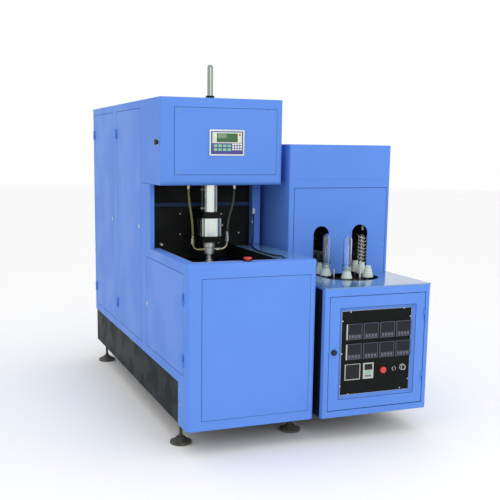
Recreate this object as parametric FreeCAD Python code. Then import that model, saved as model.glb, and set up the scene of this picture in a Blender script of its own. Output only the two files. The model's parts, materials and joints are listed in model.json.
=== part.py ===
import FreeCAD, Part
import math
import os

V = FreeCAD.Vector

# Millimetres, +Z up. X runs across the machine's front, Y runs back from the front of the lower box,
# and Z is the height above the floor. export() moves the whole object to its own bottom centre.

# ---- driving sizes of the main unit ----
width = 700.0
depth = 2215.0
height = 1787.0
floor_gap = 128.0
skirt_top = 353.0
table_z = 970.0
head_z = 1327.0
head_front = 465.0
sheet = 3.0
edge_radius = 30.0
sharp_radius = 6.0
front_return = 45.0
front_toe = 147.0
jamb_y = 680.0
seam_1 = 877.0
seam_2 = 1530.0
seam_gap = 1.0
door_gap = 3.0
door_pan = 18.0
post = 40.0
tube_wall = 3.0
beam = 22.0
beam_z = 1192.0
rim_left = 58.0
rim_front = 76.0
deck_inner = 520.0
post_y = 785.0
post_width = 50.0

# ---- blow station ----
axis_x = 350.0
axis_y = 690.0
running = 0.05
rod_radius = 6.0
stretch_stroke = 230.0
seal_stroke = 40.0
stretch_side = 81.0
stretch_bore = 31.5
stretch_low = 1170.0
stretch_high = 1745.0
bracket_low = 1135.0
seal_side = 127.0
seal_bore = 50.0
seal_cap_low = 999.0
seal_cap = 35.0
seal_rod = 20.0
nozzle_tip = 884.0
guard_radius = 16.0
guard_top = 1980.0
hose_radius = 6.5
fitting_z = 956.0
elbow_radius = 6.0

# ---- clamp ----
mould_width = 220.0
mould_height = 280.0
mould_depth = 85.0
mould_opening = 60.0
mould_gap = 0.2
platen = 40.0
platen_width = 380.0
platen_low = 470.0
tie_radius = 15.0
tie_offset = 165.0
tie_low = 500.0
tie_high = 815.0
pull_radius = 12.0
pull_offset = 125.0
clamp_bore = 50.0
clamp_wall = 12.0
clamp_rod = 20.0
bed_low = 430.0
bed = 25.0
bed_front = 110.0
bed_back = 1440.0
end_plate = 30.0
crosshead_y = 1230.0

# ---- heater ----
heater_x = 734.3
heater_width = 636.6
heater_front = -17.4
heater_depth = 1500.0
heater_top = 1551.0
deck_z = 821.0
deck_plate = 6.0
oven_front = 447.0
shelf_z = 735.0
shelf = 12.0
chain_z = 790.0
chain_pitch = 19.05
teeth = 40
pitches_per_carrier = 4
carriers = 34
wheel_x = heater_x + 326.9
wheel_y = 355.0
roller_radius = 5.95
holder_z = 824.0
pin_radius = 6.0
lamp_count = 8
lamp_pitch = 20.4
lamp_low = 882.0
lamp_radius = 5.0
recess = 18.0

# ---- worked out from the sizes above ----
wheel_radius = chain_pitch / (2 * math.sin(math.pi / teeth))
straight = chain_pitch * (carriers * pitches_per_carrier - teeth) / 2
wheel_back_y = wheel_y + straight
heater_right = heater_x + heater_width
heater_back = heater_front + heater_depth
mould_top = nozzle_tip - seal_stroke - 1.0
mould_low = mould_top - mould_height
platen_high = mould_top + 7.0
front_mould_y = axis_y - mould_opening
rear_mould_y = axis_y + mould_opening
front_platen_y = front_mould_y - mould_depth
rear_platen_y = rear_mould_y + mould_depth
shaft_radius = 15.0


# ---- small helpers ----
def block(x, y, z):
    return Part.makeBox(x[1] - x[0], y[1] - y[0], z[1] - z[0], V(x[0], y[0], z[0]))


def rod(radius, start, end):
    start = V(*start)
    along = V(*end) - start
    return Part.makeCylinder(radius, along.Length, start, along)


def upright(radius, x, y, z):
    return rod(radius, (x, y, z[0]), (x, y, z[1]))


def edges_at(shape, **place):
    """Edges whose ends all lie at the given x, y or z."""
    def lies(edge):
        return all(abs(getattr(vertex, name.upper()) - value) < 0.01
                   for vertex in edge.Vertexes for name, value in place.items())
    return [edge for edge in shape.Edges if lies(edge)]


def rounded(shape, radius, *places):
    edges = [edge for place in places for edge in edges_at(shape, **place)]
    return shape.makeFillet(radius, edges)


def joined(first, *others):
    return first.fuse(list(others)).removeSplitter()


def cut(shape, *tools):
    return shape.cut(list(tools))


def turned(x, y, steps):
    """A solid turned about a vertical axis, from (radius, low z, high z) steps."""
    return joined(*[upright(radius, x, y, (low, high)) for radius, low, high in steps])


def rounded_bar(side, corner, x, y, z):
    bar = block((x - side / 2, x + side / 2), (y - side / 2, y + side / 2), z)
    corners = [dict(x=x + i * side / 2, y=y + j * side / 2) for i in (-1, 1) for j in (-1, 1)]
    return rounded(bar, corner, *corners)


def funnel(front, back):
    """A solid between two rectangles, each (x pair, z pair, y)."""
    wires = []
    for x, z, y in (front, back):
        corners = [V(x[0], y, z[0]), V(x[1], y, z[0]), V(x[1], y, z[1]), V(x[0], y, z[1]), V(x[0], y, z[0])]
        wires.append(Part.makePolygon(corners))
    return Part.makeLoft(wires, True, True)


def line_tube(points, radius, name):
    """A tube along straight runs joined by tangent arcs, as large as the runs allow."""
    points = [V(*point) for point in points]
    edges = []
    start = points[0]
    for before, here, after in zip(points, points[1:], points[2:]):
        arrive = (here - before).normalize()
        leave = (after - here).normalize()
        turn = arrive.getAngle(leave)
        shorter = min(here.distanceToPoint(before), here.distanceToPoint(after))
        reach = 0.45 * shorter
        print(name, "radius", round(reach / math.tan(turn / 2), 1))
        first = here - arrive * reach
        last = here + leave * reach
        inward = (leave - arrive).normalize()
        radius_here = reach / math.tan(turn / 2)
        centre = here + inward * (radius_here / math.cos(turn / 2))
        middle = centre - inward * radius_here
        edges.append(Part.LineSegment(start, first).toShape())
        edges.append(Part.Arc(first, middle, last).toShape())
        start = last
    edges.append(Part.LineSegment(start, points[-1]).toShape())
    path = Part.Wire(edges)
    profile = Part.Wire(Part.makeCircle(radius, points[0], points[1] - points[0]))
    tube = path.makePipeShell([profile], True, False)
    expected = math.pi * radius ** 2 * path.Length
    print(name, "length", round(path.Length, 1), "volume share", round(tube.Volume / expected, 4))
    return tube


# ---- main unit: base, feet, frame and covers ----
foot_x = 37.0
main_feet = [(x, y) for x in (foot_x, width - foot_x) for y in (218.0, 2037.0)]
heater_feet = [(x, y) for x in (heater_x + 60, heater_right - 60) for y in (520.0, heater_back - 60)]
pad_radius = 57.0
pad_top = 34.0
stem_radius = 8.0
stem_hole = 8.5
foot_plate = 12.0
nut_radius = 14.0
nut_height = 14.0
cross_members = (200.0, 780.0, 1300.0)
cross_width = 60.0


def base_frame():
    """Black welded base: four skirts, cross members and foot plates."""
    wall = 5.0
    x = (sheet, width - sheet)
    y = (front_toe, depth - 17)
    frame = block(x, y, (floor_gap, skirt_top))
    inside = block((x[0] + wall, x[1] - wall), (y[0] + wall, y[1] - wall), (floor_gap - 1, skirt_top + 1))
    frame = cut(frame, inside)
    members = [block(x, (at, at + cross_width), (skirt_top - 60, skirt_top)) for at in cross_members]
    plates = []
    for foot in main_feet:
        side = (x[0], 85.0) if foot[0] < width / 2 else (width - 85.0, x[1])
        along = (max(foot[1] - 50, y[0]), foot[1] + 50)
        plates.append(block(side, along, (floor_gap, floor_gap + foot_plate)))
    frame = joined(frame, *(members + plates))
    return cut(frame, *[upright(stem_hole, *foot, (0, floor_gap + 40)) for foot in main_feet])


def hex_nut(place, radius, z):
    turns = [k * math.pi / 3 for k in range(7)]
    corners = [V(place[0] + radius * math.cos(a), place[1] + radius * math.sin(a), z[0]) for a in turns]
    return Part.Face(Part.makePolygon(corners)).extrude(V(0, 0, z[1] - z[0]))


def levelling_feet():
    """Domed pads and screw stems with lock nuts, one of each under every corner."""
    solids = []
    for foot in main_feet + heater_feet:
        pad = turned(*foot, [(pad_radius, 0, 12), (24.0, 12, pad_top)])
        cone = Part.makeCone(pad_radius, 26.0, pad_top - 18, V(*foot, 12))
        solids.append(joined(pad, cone))
        stem = turned(*foot, [(12.0, pad_top, pad_top + 14), (stem_radius, pad_top + 14, floor_gap + 60)])
        solids.append(joined(stem, hex_nut(foot, nut_radius, (floor_gap - nut_height, floor_gap))))
    return Part.makeCompound(solids)


inner_x = sheet + post
outer_x = width - sheet - post
post_rows = (seam_1 - post, seam_2 - sheet - post, depth - sheet - post)


def square_tube(x, y, z, along):
    """A square tube, hollow along the named axis."""
    spans = dict(x=x, y=y, z=z)
    hollow = {name: (low - 1, high + 1) if name == along else (low + tube_wall, high - tube_wall)
              for name, (low, high) in spans.items()}
    return cut(block(x, y, z), block(hollow["x"], hollow["y"], hollow["z"]))


def cabinet_frame():
    """Square tubes that carry the covers, the visible window post and the cross beam."""
    top = height - sheet
    tubes = []
    for x in ((sheet, inner_x), (outer_x, width - sheet)):
        for y in post_rows:
            tubes.append(square_tube(x, (y, y + post), (skirt_top, top), "z"))
        for low, high in zip(post_rows, post_rows[1:]):
            tubes.append(square_tube(x, (low + post, high), (top - post, top), "y"))
    window_x = (width - post_width, width)
    tubes.append(square_tube(window_x, (post_y, post_y + post_width), (table_z, head_z), "z"))
    beam_y = (bulkhead_y - beam, bulkhead_y)
    tubes.append(square_tube((inner_x, window_x[0]), beam_y, (beam_z, beam_z + beam), "x"))
    return Part.makeCompound(tubes)


# ---- side doors: aperture edges, as (hinge y, free y, low z, high z, lock y, lock z, hinge heights) ----
hinge_radius = 6.0
hinge_stand = 6.5
hinge_pin = 3.0
hinge_length = 60.0
hinge_tab = 13.0
tab_start = 1.5
lock_radius = 9.0
doors = {
    "rear_door": dict(hinge=2166.0, free=1589.0, low=400.0, high=1745.0,
                      lock=(1621.0, 1062.0), at=(529.0, 1606.0)),
    "middle_door": dict(hinge=1483.0, free=884.0, low=400.0, high=1745.0,
                        lock=(912.0, 1074.0), at=(528.0, 1607.0)),
    "lower_door": dict(hinge=59.0, free=766.0, low=402.0, high=918.0,
                       lock=(738.0, 653.0), at=(482.0, 789.0)),
}


def away(door):
    """+1 where the door lies on the high-y side of its hinge."""
    return 1 if door["free"] > door["hinge"] else -1


def aperture(door):
    y = sorted((door["hinge"], door["free"]))
    return block((-1, sheet + 1), y, (door["low"], door["high"]))


def knuckle(x, y, z, direction, gap_axis="y"):
    """A welded hinge barrel with its tab; direction points from the axis to the tab's sheet."""
    barrel = upright(hinge_radius, x, y, z)
    if gap_axis == "y":
        tab_y = sorted((y + tab_start * direction, y + hinge_tab * direction))
        tab = block((x + 2, x + hinge_stand + 1), tab_y, z)
    else:
        tab_x = sorted((x + tab_start * direction, x + hinge_tab * direction))
        tab = block(tab_x, (y + 2, y + hinge_stand + 1), z)
    return joined(barrel, tab)


def frame_hinge(x, y, middle, direction, gap_axis="y"):
    """Lower barrel and pin, fixed to the frame."""
    barrel = knuckle(x, y, (middle - hinge_length / 2, middle - 0.2), direction, gap_axis)
    pin = upright(hinge_pin, x, y, (middle - 1, middle + hinge_length / 2))
    return joined(barrel, pin)


def leaf_hinge(x, y, middle, direction, gap_axis="y"):
    """Upper barrel of a door, bored to run on the pin."""
    barrel = knuckle(x, y, (middle + 0.2, middle + hinge_length / 2), direction, gap_axis)
    return cut(barrel, upright(hinge_pin + running, x, y, (middle - 1, middle + hinge_length)))


def side_door(name):
    """A pressed door: flat face, folded edges, welded hinge barrels and the lock's hole."""
    door = doors[name]
    side = away(door)
    y = sorted((door["hinge"] + side * door_gap, door["free"] - side * door_gap))
    z = (door["low"] + door_gap, door["high"] - door_gap)
    leaf = block((0, door_pan), y, z)
    pocket = block((2, door_pan + 1), (y[0] + 2, y[1] - 2), (z[0] + 2, z[1] - 2))
    leaf = cut(leaf, pocket)
    hinges = [leaf_hinge(-hinge_stand, door["hinge"], at, side) for at in door["at"]]
    leaf = joined(leaf, *hinges)
    lock_y, lock_z = door["lock"]
    return cut(leaf, rod(lock_radius + running, (-20, lock_y, lock_z), (20, lock_y, lock_z)))


def side_lock(name):
    """A quarter-turn lock: slotted head, barrel and the cam behind the door."""
    y, z = doors[name]["lock"]
    head = rod(12.0, (-3.3, y, z), (-0.3, y, z))
    slot = block((-4, -2), (y - 1, y + 1), (z - 8, z + 8))
    barrel = rod(lock_radius, (-0.5, y, z), (door_pan + 1, y, z))
    cam = block((door_pan + 1, door_pan + 4), (y - 6, y + 6), (z - 8, z + 34))
    return joined(cut(head, slot), barrel, cam)


def left_side_frames():
    """Three side frames: the front one is a C round the blow station's window."""
    top = height - sheet
    front = block((0, sheet), (front_return, seam_1), (skirt_top, table_z))
    notch = block((-1, sheet + 1), (front_return - 1, front_toe), (table_z - sheet, table_z + 1))
    flange = block((0, rim_left), (front_toe, seam_1 - post), (table_z - sheet, table_z))
    jamb = block((0, sheet), (jamb_y, seam_1), (table_z, head_z))
    lip = block((0, 25), (jamb_y, jamb_y + sheet), (table_z, head_z))
    front = joined(cut(front, notch), flange, jamb, lip)
    middle = block((0, sheet), (seam_1 + seam_gap, seam_2 - seam_gap / 2), (skirt_top, top))
    rear = block((0, sheet), (seam_2 + seam_gap / 2, depth), (skirt_top, top))
    frames = []
    for plate, name in ((front, "lower_door"), (middle, "middle_door"), (rear, "rear_door")):
        door = doors[name]
        plate = cut(plate, aperture(door))
        hinges = [frame_hinge(-hinge_stand, door["hinge"], at, -away(door)) for at in door["at"]]
        frames.append(joined(plate, *hinges))
    return Part.makeCompound(frames)


inlet_x = 120.0
inlet_z = 480.0
inlet_bore = 9.5
inlet_length = 40.0


def cabinet_panels():
    """Right side sheets, the back sheet and the roof sheet."""
    top = height - sheet
    right = (width - sheet, width)
    front = joined(block(right, (front_return, seam_1), (skirt_top, table_z - sheet)),
                   block(right, (post_y + post_width, seam_1), (table_z - sheet, head_z)))
    middle = block(right, (seam_1 + seam_gap, seam_2 - seam_gap / 2), (skirt_top, top))
    rear = block(right, (seam_2 + seam_gap / 2, depth), (skirt_top, top))
    back = block((sheet, width - sheet), (depth - sheet, depth), (skirt_top, top))
    back = cut(back, rod(16.0, (inlet_x, depth - 10, inlet_z), (inlet_x, depth + 10, inlet_z)))
    roof = block((0, width), (seam_1 + seam_gap, depth), (top, height))
    return Part.makeCompound([front, middle, rear, back, roof])


def air_inlet():
    """Bulkhead port on the back cover for the air supply."""
    start = (inlet_x, depth - sheet - 12, inlet_z)
    end = (inlet_x, depth + 8, inlet_z)
    body = joined(rod(16.0, start, end), rod(21.0, (inlet_x, depth, inlet_z), end))
    bore = rod(inlet_bore, (inlet_x, end[1] - inlet_length, inlet_z), (inlet_x, end[1] + 1, inlet_z))
    back = rod(16.0, (inlet_x, end[1] - inlet_length - 6, inlet_z), start)
    return cut(joined(body, back), bore)


# ---- head ----
bulkhead_y = 848.0
hood_lip = 60.0
hood_hole = guard_radius + 2.0
panel_x = (78.0, 658.0)
panel_z = (1385.0, 1735.0)
panel_proud = 2.0
hmi_x = (268.0, 467.0)
hmi_z = (1486.0, 1623.0)
hmi_proud = 6.0
hmi_step = 8.0


def head_hood():
    """Folded hood over the blow station, open behind and below."""
    outer = block((0, width), (head_front, seam_1), (head_z, height))
    outer = rounded(outer, edge_radius, dict(x=width, y=head_front), dict(y=head_front, z=head_z))
    outer = rounded(outer, sharp_radius, dict(x=0, y=head_front))
    hollow = block((sheet, width - sheet), (head_front + sheet, seam_1 + 1), (head_z + sheet, height - sheet))
    corner = dict(x=width - sheet, y=head_front + sheet)
    hollow = rounded(hollow, edge_radius - sheet, corner, dict(y=head_front + sheet, z=head_z + sheet))
    floor = (head_z - 1, head_z + sheet + 1)
    below = block((inner_x, outer_x), (head_front + hood_lip, seam_1 + 1), floor)
    round_posts = block((sheet, width - sheet), (post_rows[0], seam_1 + 1), floor)
    wall = (head_front - 1, head_front + sheet + 1)
    window = block((panel_x[0] + 20, panel_x[1] - 20), wall, (panel_z[0] + 20, panel_z[1] - 20))
    hole = upright(hood_hole, axis_x, axis_y, (height - 10, height + 1))
    y, z = button_place
    button = rod(button_radius + running, (-1, y, z), (sheet + 1, y, z))
    return cut(outer, hollow, below, round_posts, window, hole, button)


def head_panel():
    plate = block(panel_x, (head_front - panel_proud, head_front), panel_z)
    x = (hmi_x[0] + hmi_step - 0.5, hmi_x[1] - hmi_step + 0.5)
    z = (hmi_z[0] + hmi_step - 0.5, hmi_z[1] - hmi_step + 0.5)
    return cut(plate, block(x, (head_front - 5, head_front + 5), z))


def hmi_case():
    """Keypad and display case, flanged in front of the panel."""
    face = head_front - panel_proud
    flange = block(hmi_x, (face - hmi_proud, face), hmi_z)
    corners = [dict(x=x, z=z) for x in hmi_x for z in hmi_z]
    flange = rounded(flange, 5.0, *corners)
    x = (hmi_x[0] + hmi_step, hmi_x[1] - hmi_step)
    z = (hmi_z[0] + hmi_step, hmi_z[1] - hmi_step)
    return joined(flange, block(x, (face - 1, face + 42), z))


button_place = (515.0, 1554.0)
button_radius = 11.0
button_bezel = 14.5


def side_button():
    """Black push button on the head's side: the cap and its stem."""
    y, z = button_place
    cap = rounded(rod(button_bezel, (-17, y, z), (-6, y, z)), 2.0, dict(x=-17))
    return joined(cap, rod(button_radius, (-7, y, z), (24, y, z)))


# ---- lower box and table ----
front_panel_x = (78.0, 660.0)
front_panel_z = (179.0, 895.0)
stop_place = (334.0, 50.0)
stop_head = 21.0
stop_stem = 8.0
stop_travel = 6.0


def front_frame():
    """Folded front of the lower box, with the rim round the front of the well."""
    outer = block((0, width), (0, front_toe), (floor_gap, table_z))
    outer = rounded(outer, edge_radius, dict(x=0, y=0), dict(x=width, y=0), dict(y=0, z=table_z))
    hollow = block((sheet, width - sheet), (sheet, front_toe + 1), (floor_gap + sheet, table_z - sheet))
    inner = sheet
    hollow = rounded(hollow, edge_radius - sheet, dict(x=inner, y=inner), dict(x=width - inner, y=inner),
                     dict(y=inner, z=table_z - inner))
    window = block((front_panel_x[0] + 20, front_panel_x[1] - 20), (-1, sheet + 1),
                   (front_panel_z[0] + 20, front_panel_z[1] - 20))
    well = block((rim_left, deck_inner), (rim_front, front_toe + 1), (table_z - 10, table_z + 1))
    deck = block((deck_inner - 1, width - sheet), (rim_front, front_toe + 1), (table_z - 10, table_z + 1))
    left = block((-1, sheet + 1), (front_return, front_toe + 1), (skirt_top, table_z - sheet))
    right = block((width - sheet - 1, width + 1), (front_return, front_toe + 1), (skirt_top, table_z - sheet))
    stop = upright(stop_stem + running, *stop_place, (table_z - 10, table_z + 1))
    return cut(outer, hollow, window, well, deck, left, right, stop)


def front_panel():
    return block(front_panel_x, (-panel_proud, 0), front_panel_z)


def emergency_button():
    """Red mushroom head on its stem, pushed down into the rim."""
    x, y = stop_place
    head = upright(stop_head, x, y, (table_z + 10, table_z + 22))
    head = rounded(head, 5.0, dict(z=table_z + 22))
    neck = upright(14.0, x, y, (table_z + stop_travel + 1, table_z + 10))
    return joined(head, neck, upright(stop_stem, x, y, (table_z - 30, table_z + 8)))


cable_radius = 4.0
connector_x = (650.0, 664.0)
connector_z = (1145.0, 1177.0)
cable_y = post_y - 6.0
cable_hole = (556.0, 103.0)


def deck_strip():
    """Glossy strip of table to the right of the well."""
    strip = block((deck_inner, width), (front_toe, post_y + post_width), (table_z - sheet, table_z))
    front = block((deck_inner, width - sheet), (rim_front, front_toe), (table_z - sheet, table_z))
    hole = upright(cable_radius + 4, *cable_hole, (table_z - 10, table_z + 1))
    return cut(joined(strip, front), hole)


ceiling_z = 1340.0
liner_z = platen_high + 35.0


def inner_guard():
    """Black sheets round the station: bulkhead, well side, ceiling and the cylinder bracket."""
    bulkhead = block((inner_x, outer_x), (bulkhead_y, bulkhead_y + sheet), (liner_z, ceiling_z))
    side = block((deck_inner, deck_inner + sheet), (front_toe, bulkhead_y), (liner_z, table_z - sheet))
    ceiling = block((inner_x, outer_x), (head_front + 45, bulkhead_y + sheet), (ceiling_z, ceiling_z + sheet))
    hole = rounded_bar(stretch_side + 2, 19.0, axis_x, axis_y, (ceiling_z - 5, ceiling_z + 5))
    ceiling = cut(ceiling, hole)
    unions = [upright(10.0, axis_x + dx, axis_y, (high, ceiling_z))
              for dx, high in (hose_top_left, hose_top_right)]
    bracket = block((axis_x - 50, axis_x + 50), (axis_y - 50, bulkhead_y), (bracket_low, stretch_low))
    bracket = cut(bracket, upright(rod_radius + 1, axis_x, axis_y, (bracket_low - 1, stretch_low + 1)))
    return Part.makeCompound([bulkhead, side, joined(ceiling, *unions), bracket])


# ---- blow station ----
hose_top_left = (-125.0, 1318.0)
hose_top_right = (150.0, 1318.0)
hose_low_left = (-98.0, 1022.0)
hose_low_right = (108.0, 1033.0)


def stretch_cylinder():
    """Profile barrel with closed ends, and the guard tube that covers the rod's upper end."""
    barrel = rounded_bar(stretch_side, 18.0, axis_x, axis_y, (stretch_low, stretch_high))
    bore = upright(stretch_bore, axis_x, axis_y, (stretch_low + 12, stretch_high - 30))
    through = upright(rod_radius + running, axis_x, axis_y, (stretch_low - 1, stretch_high + 1))
    guard = upright(guard_radius, axis_x, axis_y, (stretch_high, guard_top - guard_radius))
    dome = Part.makeSphere(guard_radius, V(axis_x, axis_y, guard_top - guard_radius))
    inside = upright(rod_radius + 2, axis_x, axis_y, (stretch_high - 1, guard_top - 10))
    guard = cut(joined(guard, dome), inside)
    return Part.makeCompound([cut(barrel, bore, through), guard])


def seal_cylinder():
    """Short profile barrel and its bottom cap, hung under the bracket."""
    barrel = rounded_bar(seal_side, 10.0, axis_x, axis_y, (seal_cap_low + seal_cap, bracket_low))
    barrel = cut(barrel, upright(seal_bore, axis_x, axis_y, (seal_cap_low, bracket_low + 1)))
    cap = rounded_bar(seal_side - 16, 10.0, axis_x, axis_y, (seal_cap_low, seal_cap_low + seal_cap))
    cap = cut(cap, upright(seal_rod + running, axis_x, axis_y, (seal_cap_low - 1, bracket_low)))
    return Part.makeCompound([barrel, cap])


nozzle_steps = [(35.0, 968.0, 998.0), (30.0, 928.0, 968.0), (15.0, 896.0, 928.0), (23.0, nozzle_tip, 896.0)]


def blow_nozzle():
    """Piston, hollow rod, flange, manifold and nose, bored for the stretch rod."""
    piston = (seal_bore - 0.3, bracket_low - 17, bracket_low - 3)
    stem = (seal_rod, 998.0, bracket_low - 17)
    body = turned(axis_x, axis_y, nozzle_steps + [stem, piston])
    bore = upright(rod_radius + running, axis_x, axis_y, (nozzle_tip - 1, bracket_low))
    return cut(body, bore)


def elbow(low, hex_low, name):
    """Pipe from a hose's end down, round a bend and into the manifold."""
    side = 1 if low[0] > 0 else -1
    x = axis_x + low[0]
    inner = axis_x + side * 25
    route = [(x, axis_y, low[1]), (x, axis_y, fitting_z), (inner, axis_y, fitting_z)]
    nut = upright(9.0, x, axis_y, (hex_low, low[1] - 3))
    union = rod(9.0, (axis_x + side * 62, axis_y, fitting_z), (axis_x + side * 44, axis_y, fitting_z))
    return joined(line_tube(route, elbow_radius, name), nut, union)


def nozzle_fittings():
    manifold = upright(nozzle_steps[1][0], axis_x, axis_y, (900, 990))
    left = elbow(hose_low_left, 989.0, "left elbow")
    right = elbow(hose_low_right, 997.0, "right elbow")
    return Part.makeCompound([cut(left, manifold), cut(right, manifold)])


def stretch_rod():
    """Stretch rod with its piston, and the upper end in the guard tube."""
    bar = upright(rod_radius, axis_x, axis_y, (nozzle_tip - 14, guard_top - 20))
    tip = edges_at(bar, z=nozzle_tip - 14)
    bar = bar.makeFillet(4.0, tip)
    piston = upright(stretch_bore - 0.3, axis_x, axis_y, (stretch_high - 58, stretch_high - 36))
    return joined(bar, piston)


def hose_points(top, low, sag):
    """Route of a hose from the ceiling's union to the fitting on the blow head."""
    x_high, z_high = axis_x + top[0], top[1]
    x_low, z_low = axis_x + low[0], low[1]
    x = [x_high, x_high, x_high + sag[0], x_low + sag[1], x_low, x_low]
    z = [z_high, z_high - 24, z_high - 100, z_low + 100, z_low + 24, z_low]
    return [(at, axis_y, level) for at, level in zip(x, z)]


left_hose_route = hose_points(hose_top_left, hose_low_left, (6.0, -4.0))
right_hose_route = hose_points(hose_top_right, hose_low_right, (-5.0, 9.0))

# Route of the sensor's cable: down the post, over the strip and through its hole.
sensor_cable_route = [
    (657.0, cable_y, connector_z[0]),
    (657.0, cable_y, 1095.0),
    (655.0, cable_y - 4.0, 1040.0),
    (650.0, cable_y - 14.0, 996.0),
    (634.0, 734.0, 975.0),
    (606.0, 672.0, 974.5),
    (578.0, 592.0, 974.5),
    (552.0, 500.0, 974.5),
    (536.0, 400.0, 974.5),
    (531.0, 300.0, 974.5),
    (537.0, 220.0, 974.5),
    (546.0, 168.0, 975.0),
    (553.0, 132.0, 979.0),
    (556.0, 108.0, 977.0),
    (556.0, 99.0, 959.0),
    (556.0, 98.0, 941.0),
]


# ---- clamp in the well and behind it ----
bar_places = [(axis_x + dx, z) for dx in (-tie_offset, tie_offset) for z in (tie_low, tie_high)]
pull_places = [(axis_x + dx, mould_low + mould_height / 3) for dx in (-pull_offset, pull_offset)]


def along_y(radius, places, y):
    return [rod(radius, (x, y[0], z), (x, y[1], z)) for x, z in places]


def clamp_plate(y):
    plate = block((axis_x - platen_width / 2, axis_x + platen_width / 2), y, (platen_low, platen_high))
    return cut(plate, *along_y(tie_radius + running, bar_places, (y[0] - 1, y[1] + 1)))


def tie_bars():
    return Part.makeCompound(along_y(tie_radius, bar_places, (bed_front, bed_back)))


def mould_bed():
    """Bed plate on two cross feet, with an end plate for the bars at each end."""
    x = (axis_x - platen_width / 2, axis_x + platen_width / 2)
    plate = block((x[0] - 30, x[1] + 30), (bed_front, bed_back), (bed_low, bed_low + bed))
    ends = [block(x, y, (bed_low + bed, platen_high))
            for y in ((bed_front, bed_front + end_plate), (bed_back - end_plate, bed_back))]
    feet = [block((sheet + 20, width - sheet - 20), (at, at + cross_width), (skirt_top, bed_low))
            for at in (cross_members[0], cross_members[2])]
    body = joined(plate, *(ends + feet))
    return cut(body, *along_y(tie_radius, bar_places, (bed_front - 1, bed_back + 1)))


def front_platen():
    """Platen of the front mould half with the pull rods that run back to the crosshead."""
    plate = clamp_plate((front_platen_y - platen, front_platen_y))
    rods = along_y(pull_radius, pull_places, (front_platen_y - 5, crosshead_y))
    return joined(plate, *rods)


def mould_half(y, cavity_y):
    """Half mould with its share of the bottle's cavity and neck."""
    half = block((axis_x - mould_width / 2, axis_x + mould_width / 2), y, (mould_low, mould_top))
    steps = [(34.0, mould_low + 30, mould_top - 80), (24.5, mould_top - 90, mould_top + 1)]
    bottle = turned(axis_x, cavity_y, steps)
    shoulder = Part.makeCone(34.0, 24.5, 30, V(axis_x, cavity_y, mould_top - 80))
    return cut(half, joined(bottle, shoulder))


def front_mould():
    return mould_half((front_platen_y, front_mould_y), front_mould_y)


def rear_mould():
    return mould_half((rear_mould_y, rear_platen_y), rear_mould_y)


def clamp_cylinder():
    """Crosshead plate with the clamp cylinder's barrel."""
    centre_z = (mould_low + mould_top) / 2
    plate = clamp_plate((crosshead_y, crosshead_y + platen))
    barrel_y = (crosshead_y - 230, crosshead_y + 5)
    barrel = rod(clamp_bore + clamp_wall, (axis_x, barrel_y[0], centre_z), (axis_x, barrel_y[1], centre_z))
    bore = rod(clamp_bore, (axis_x, barrel_y[0] + 15, centre_z), (axis_x, crosshead_y, centre_z))
    neck = rod(clamp_rod + running, (axis_x, barrel_y[0] - 1, centre_z), (axis_x, barrel_y[0] + 20, centre_z))
    return cut(joined(plate, barrel), bore, neck)


def rear_platen():
    """Platen of the rear mould half with the clamp cylinder's rod and piston."""
    centre_z = (mould_low + mould_top) / 2
    back = rear_platen_y + platen
    plate = clamp_plate((rear_platen_y, back))
    plate = cut(plate, *along_y(pull_radius + running, pull_places, (rear_platen_y - 1, back + 1)))
    bar = rod(clamp_rod, (axis_x, back - 5, centre_z), (axis_x, crosshead_y - 20, centre_z))
    piston = rod(clamp_bore - 0.3, (axis_x, crosshead_y - 40, centre_z), (axis_x, crosshead_y - 20, centre_z))
    return joined(plate, bar, piston)


# ---- heater: body, deck and oven ----
body_x = (heater_x, heater_right)
door_x = (769.0, 1340.0)
door_z = (165.0, 773.0)
control_hinge_x = door_x[1] + door_gap
control_hinge_heights = (310.0, 651.0)
deck_radius = 163.0
deck_y = 331.0
oven_panel_x = (765.0, 1352.0)
oven_panel_top = 1311.0
groove_z = 1359.0
oven_arches = [(938.6, 49.0, 1096.0), (1185.0, 51.0, 1101.0)]


def heater_body():
    """Welded cabinet under the deck and oven, with the shelf that carries the chain wheels."""
    outer = block(body_x, (heater_front, heater_back), (floor_gap, deck_z - deck_plate))
    outer = rounded(outer, 12.0, dict(x=body_x[0], y=heater_front), dict(x=body_x[1], y=heater_front))
    inside_x = (body_x[0] + sheet, body_x[1] - sheet)
    inside_y = (heater_front + sheet, heater_back - sheet)
    hollow = block(inside_x, inside_y, (floor_gap + sheet, deck_z))
    mouth = block((door_x[0] - door_gap, door_x[1] + door_gap), (heater_front - 1, heater_front + sheet + 1),
                  (door_z[0] - door_gap, door_z[1] + door_gap))
    plate = block(inside_x, (160, inside_y[1]), (shelf_z, shelf_z + shelf))
    bearings = [upright(shaft_radius + running, wheel_x, y, (shelf_z - 1, shelf_z + shelf + 1))
                for y in (wheel_y, wheel_back_y)]
    holes = [upright(stem_hole, *foot, (0, floor_gap + 40)) for foot in heater_feet]
    hinges = [frame_hinge(control_hinge_x, heater_front - hinge_stand, at, 1, "x")
              for at in control_hinge_heights]
    body = joined(cut(outer, hollow, mouth), plate, *hinges)
    return cut(body, *(bearings + holes))


def heater_deck():
    """Deck plate with the long opening over the carrier chain."""
    plate = block(body_x, (heater_front, heater_back), (deck_z - deck_plate, deck_z))
    plate = rounded(plate, 3.0, dict(y=heater_front, z=deck_z))
    z = (deck_z - 10, deck_z + 1)
    back_y = wheel_back_y + wheel_y - deck_y
    slot = joined(upright(deck_radius, wheel_x, deck_y, z), upright(deck_radius, wheel_x, back_y, z),
                  block((wheel_x - deck_radius, wheel_x + deck_radius), (deck_y, back_y), z))
    return cut(plate, slot)


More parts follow.
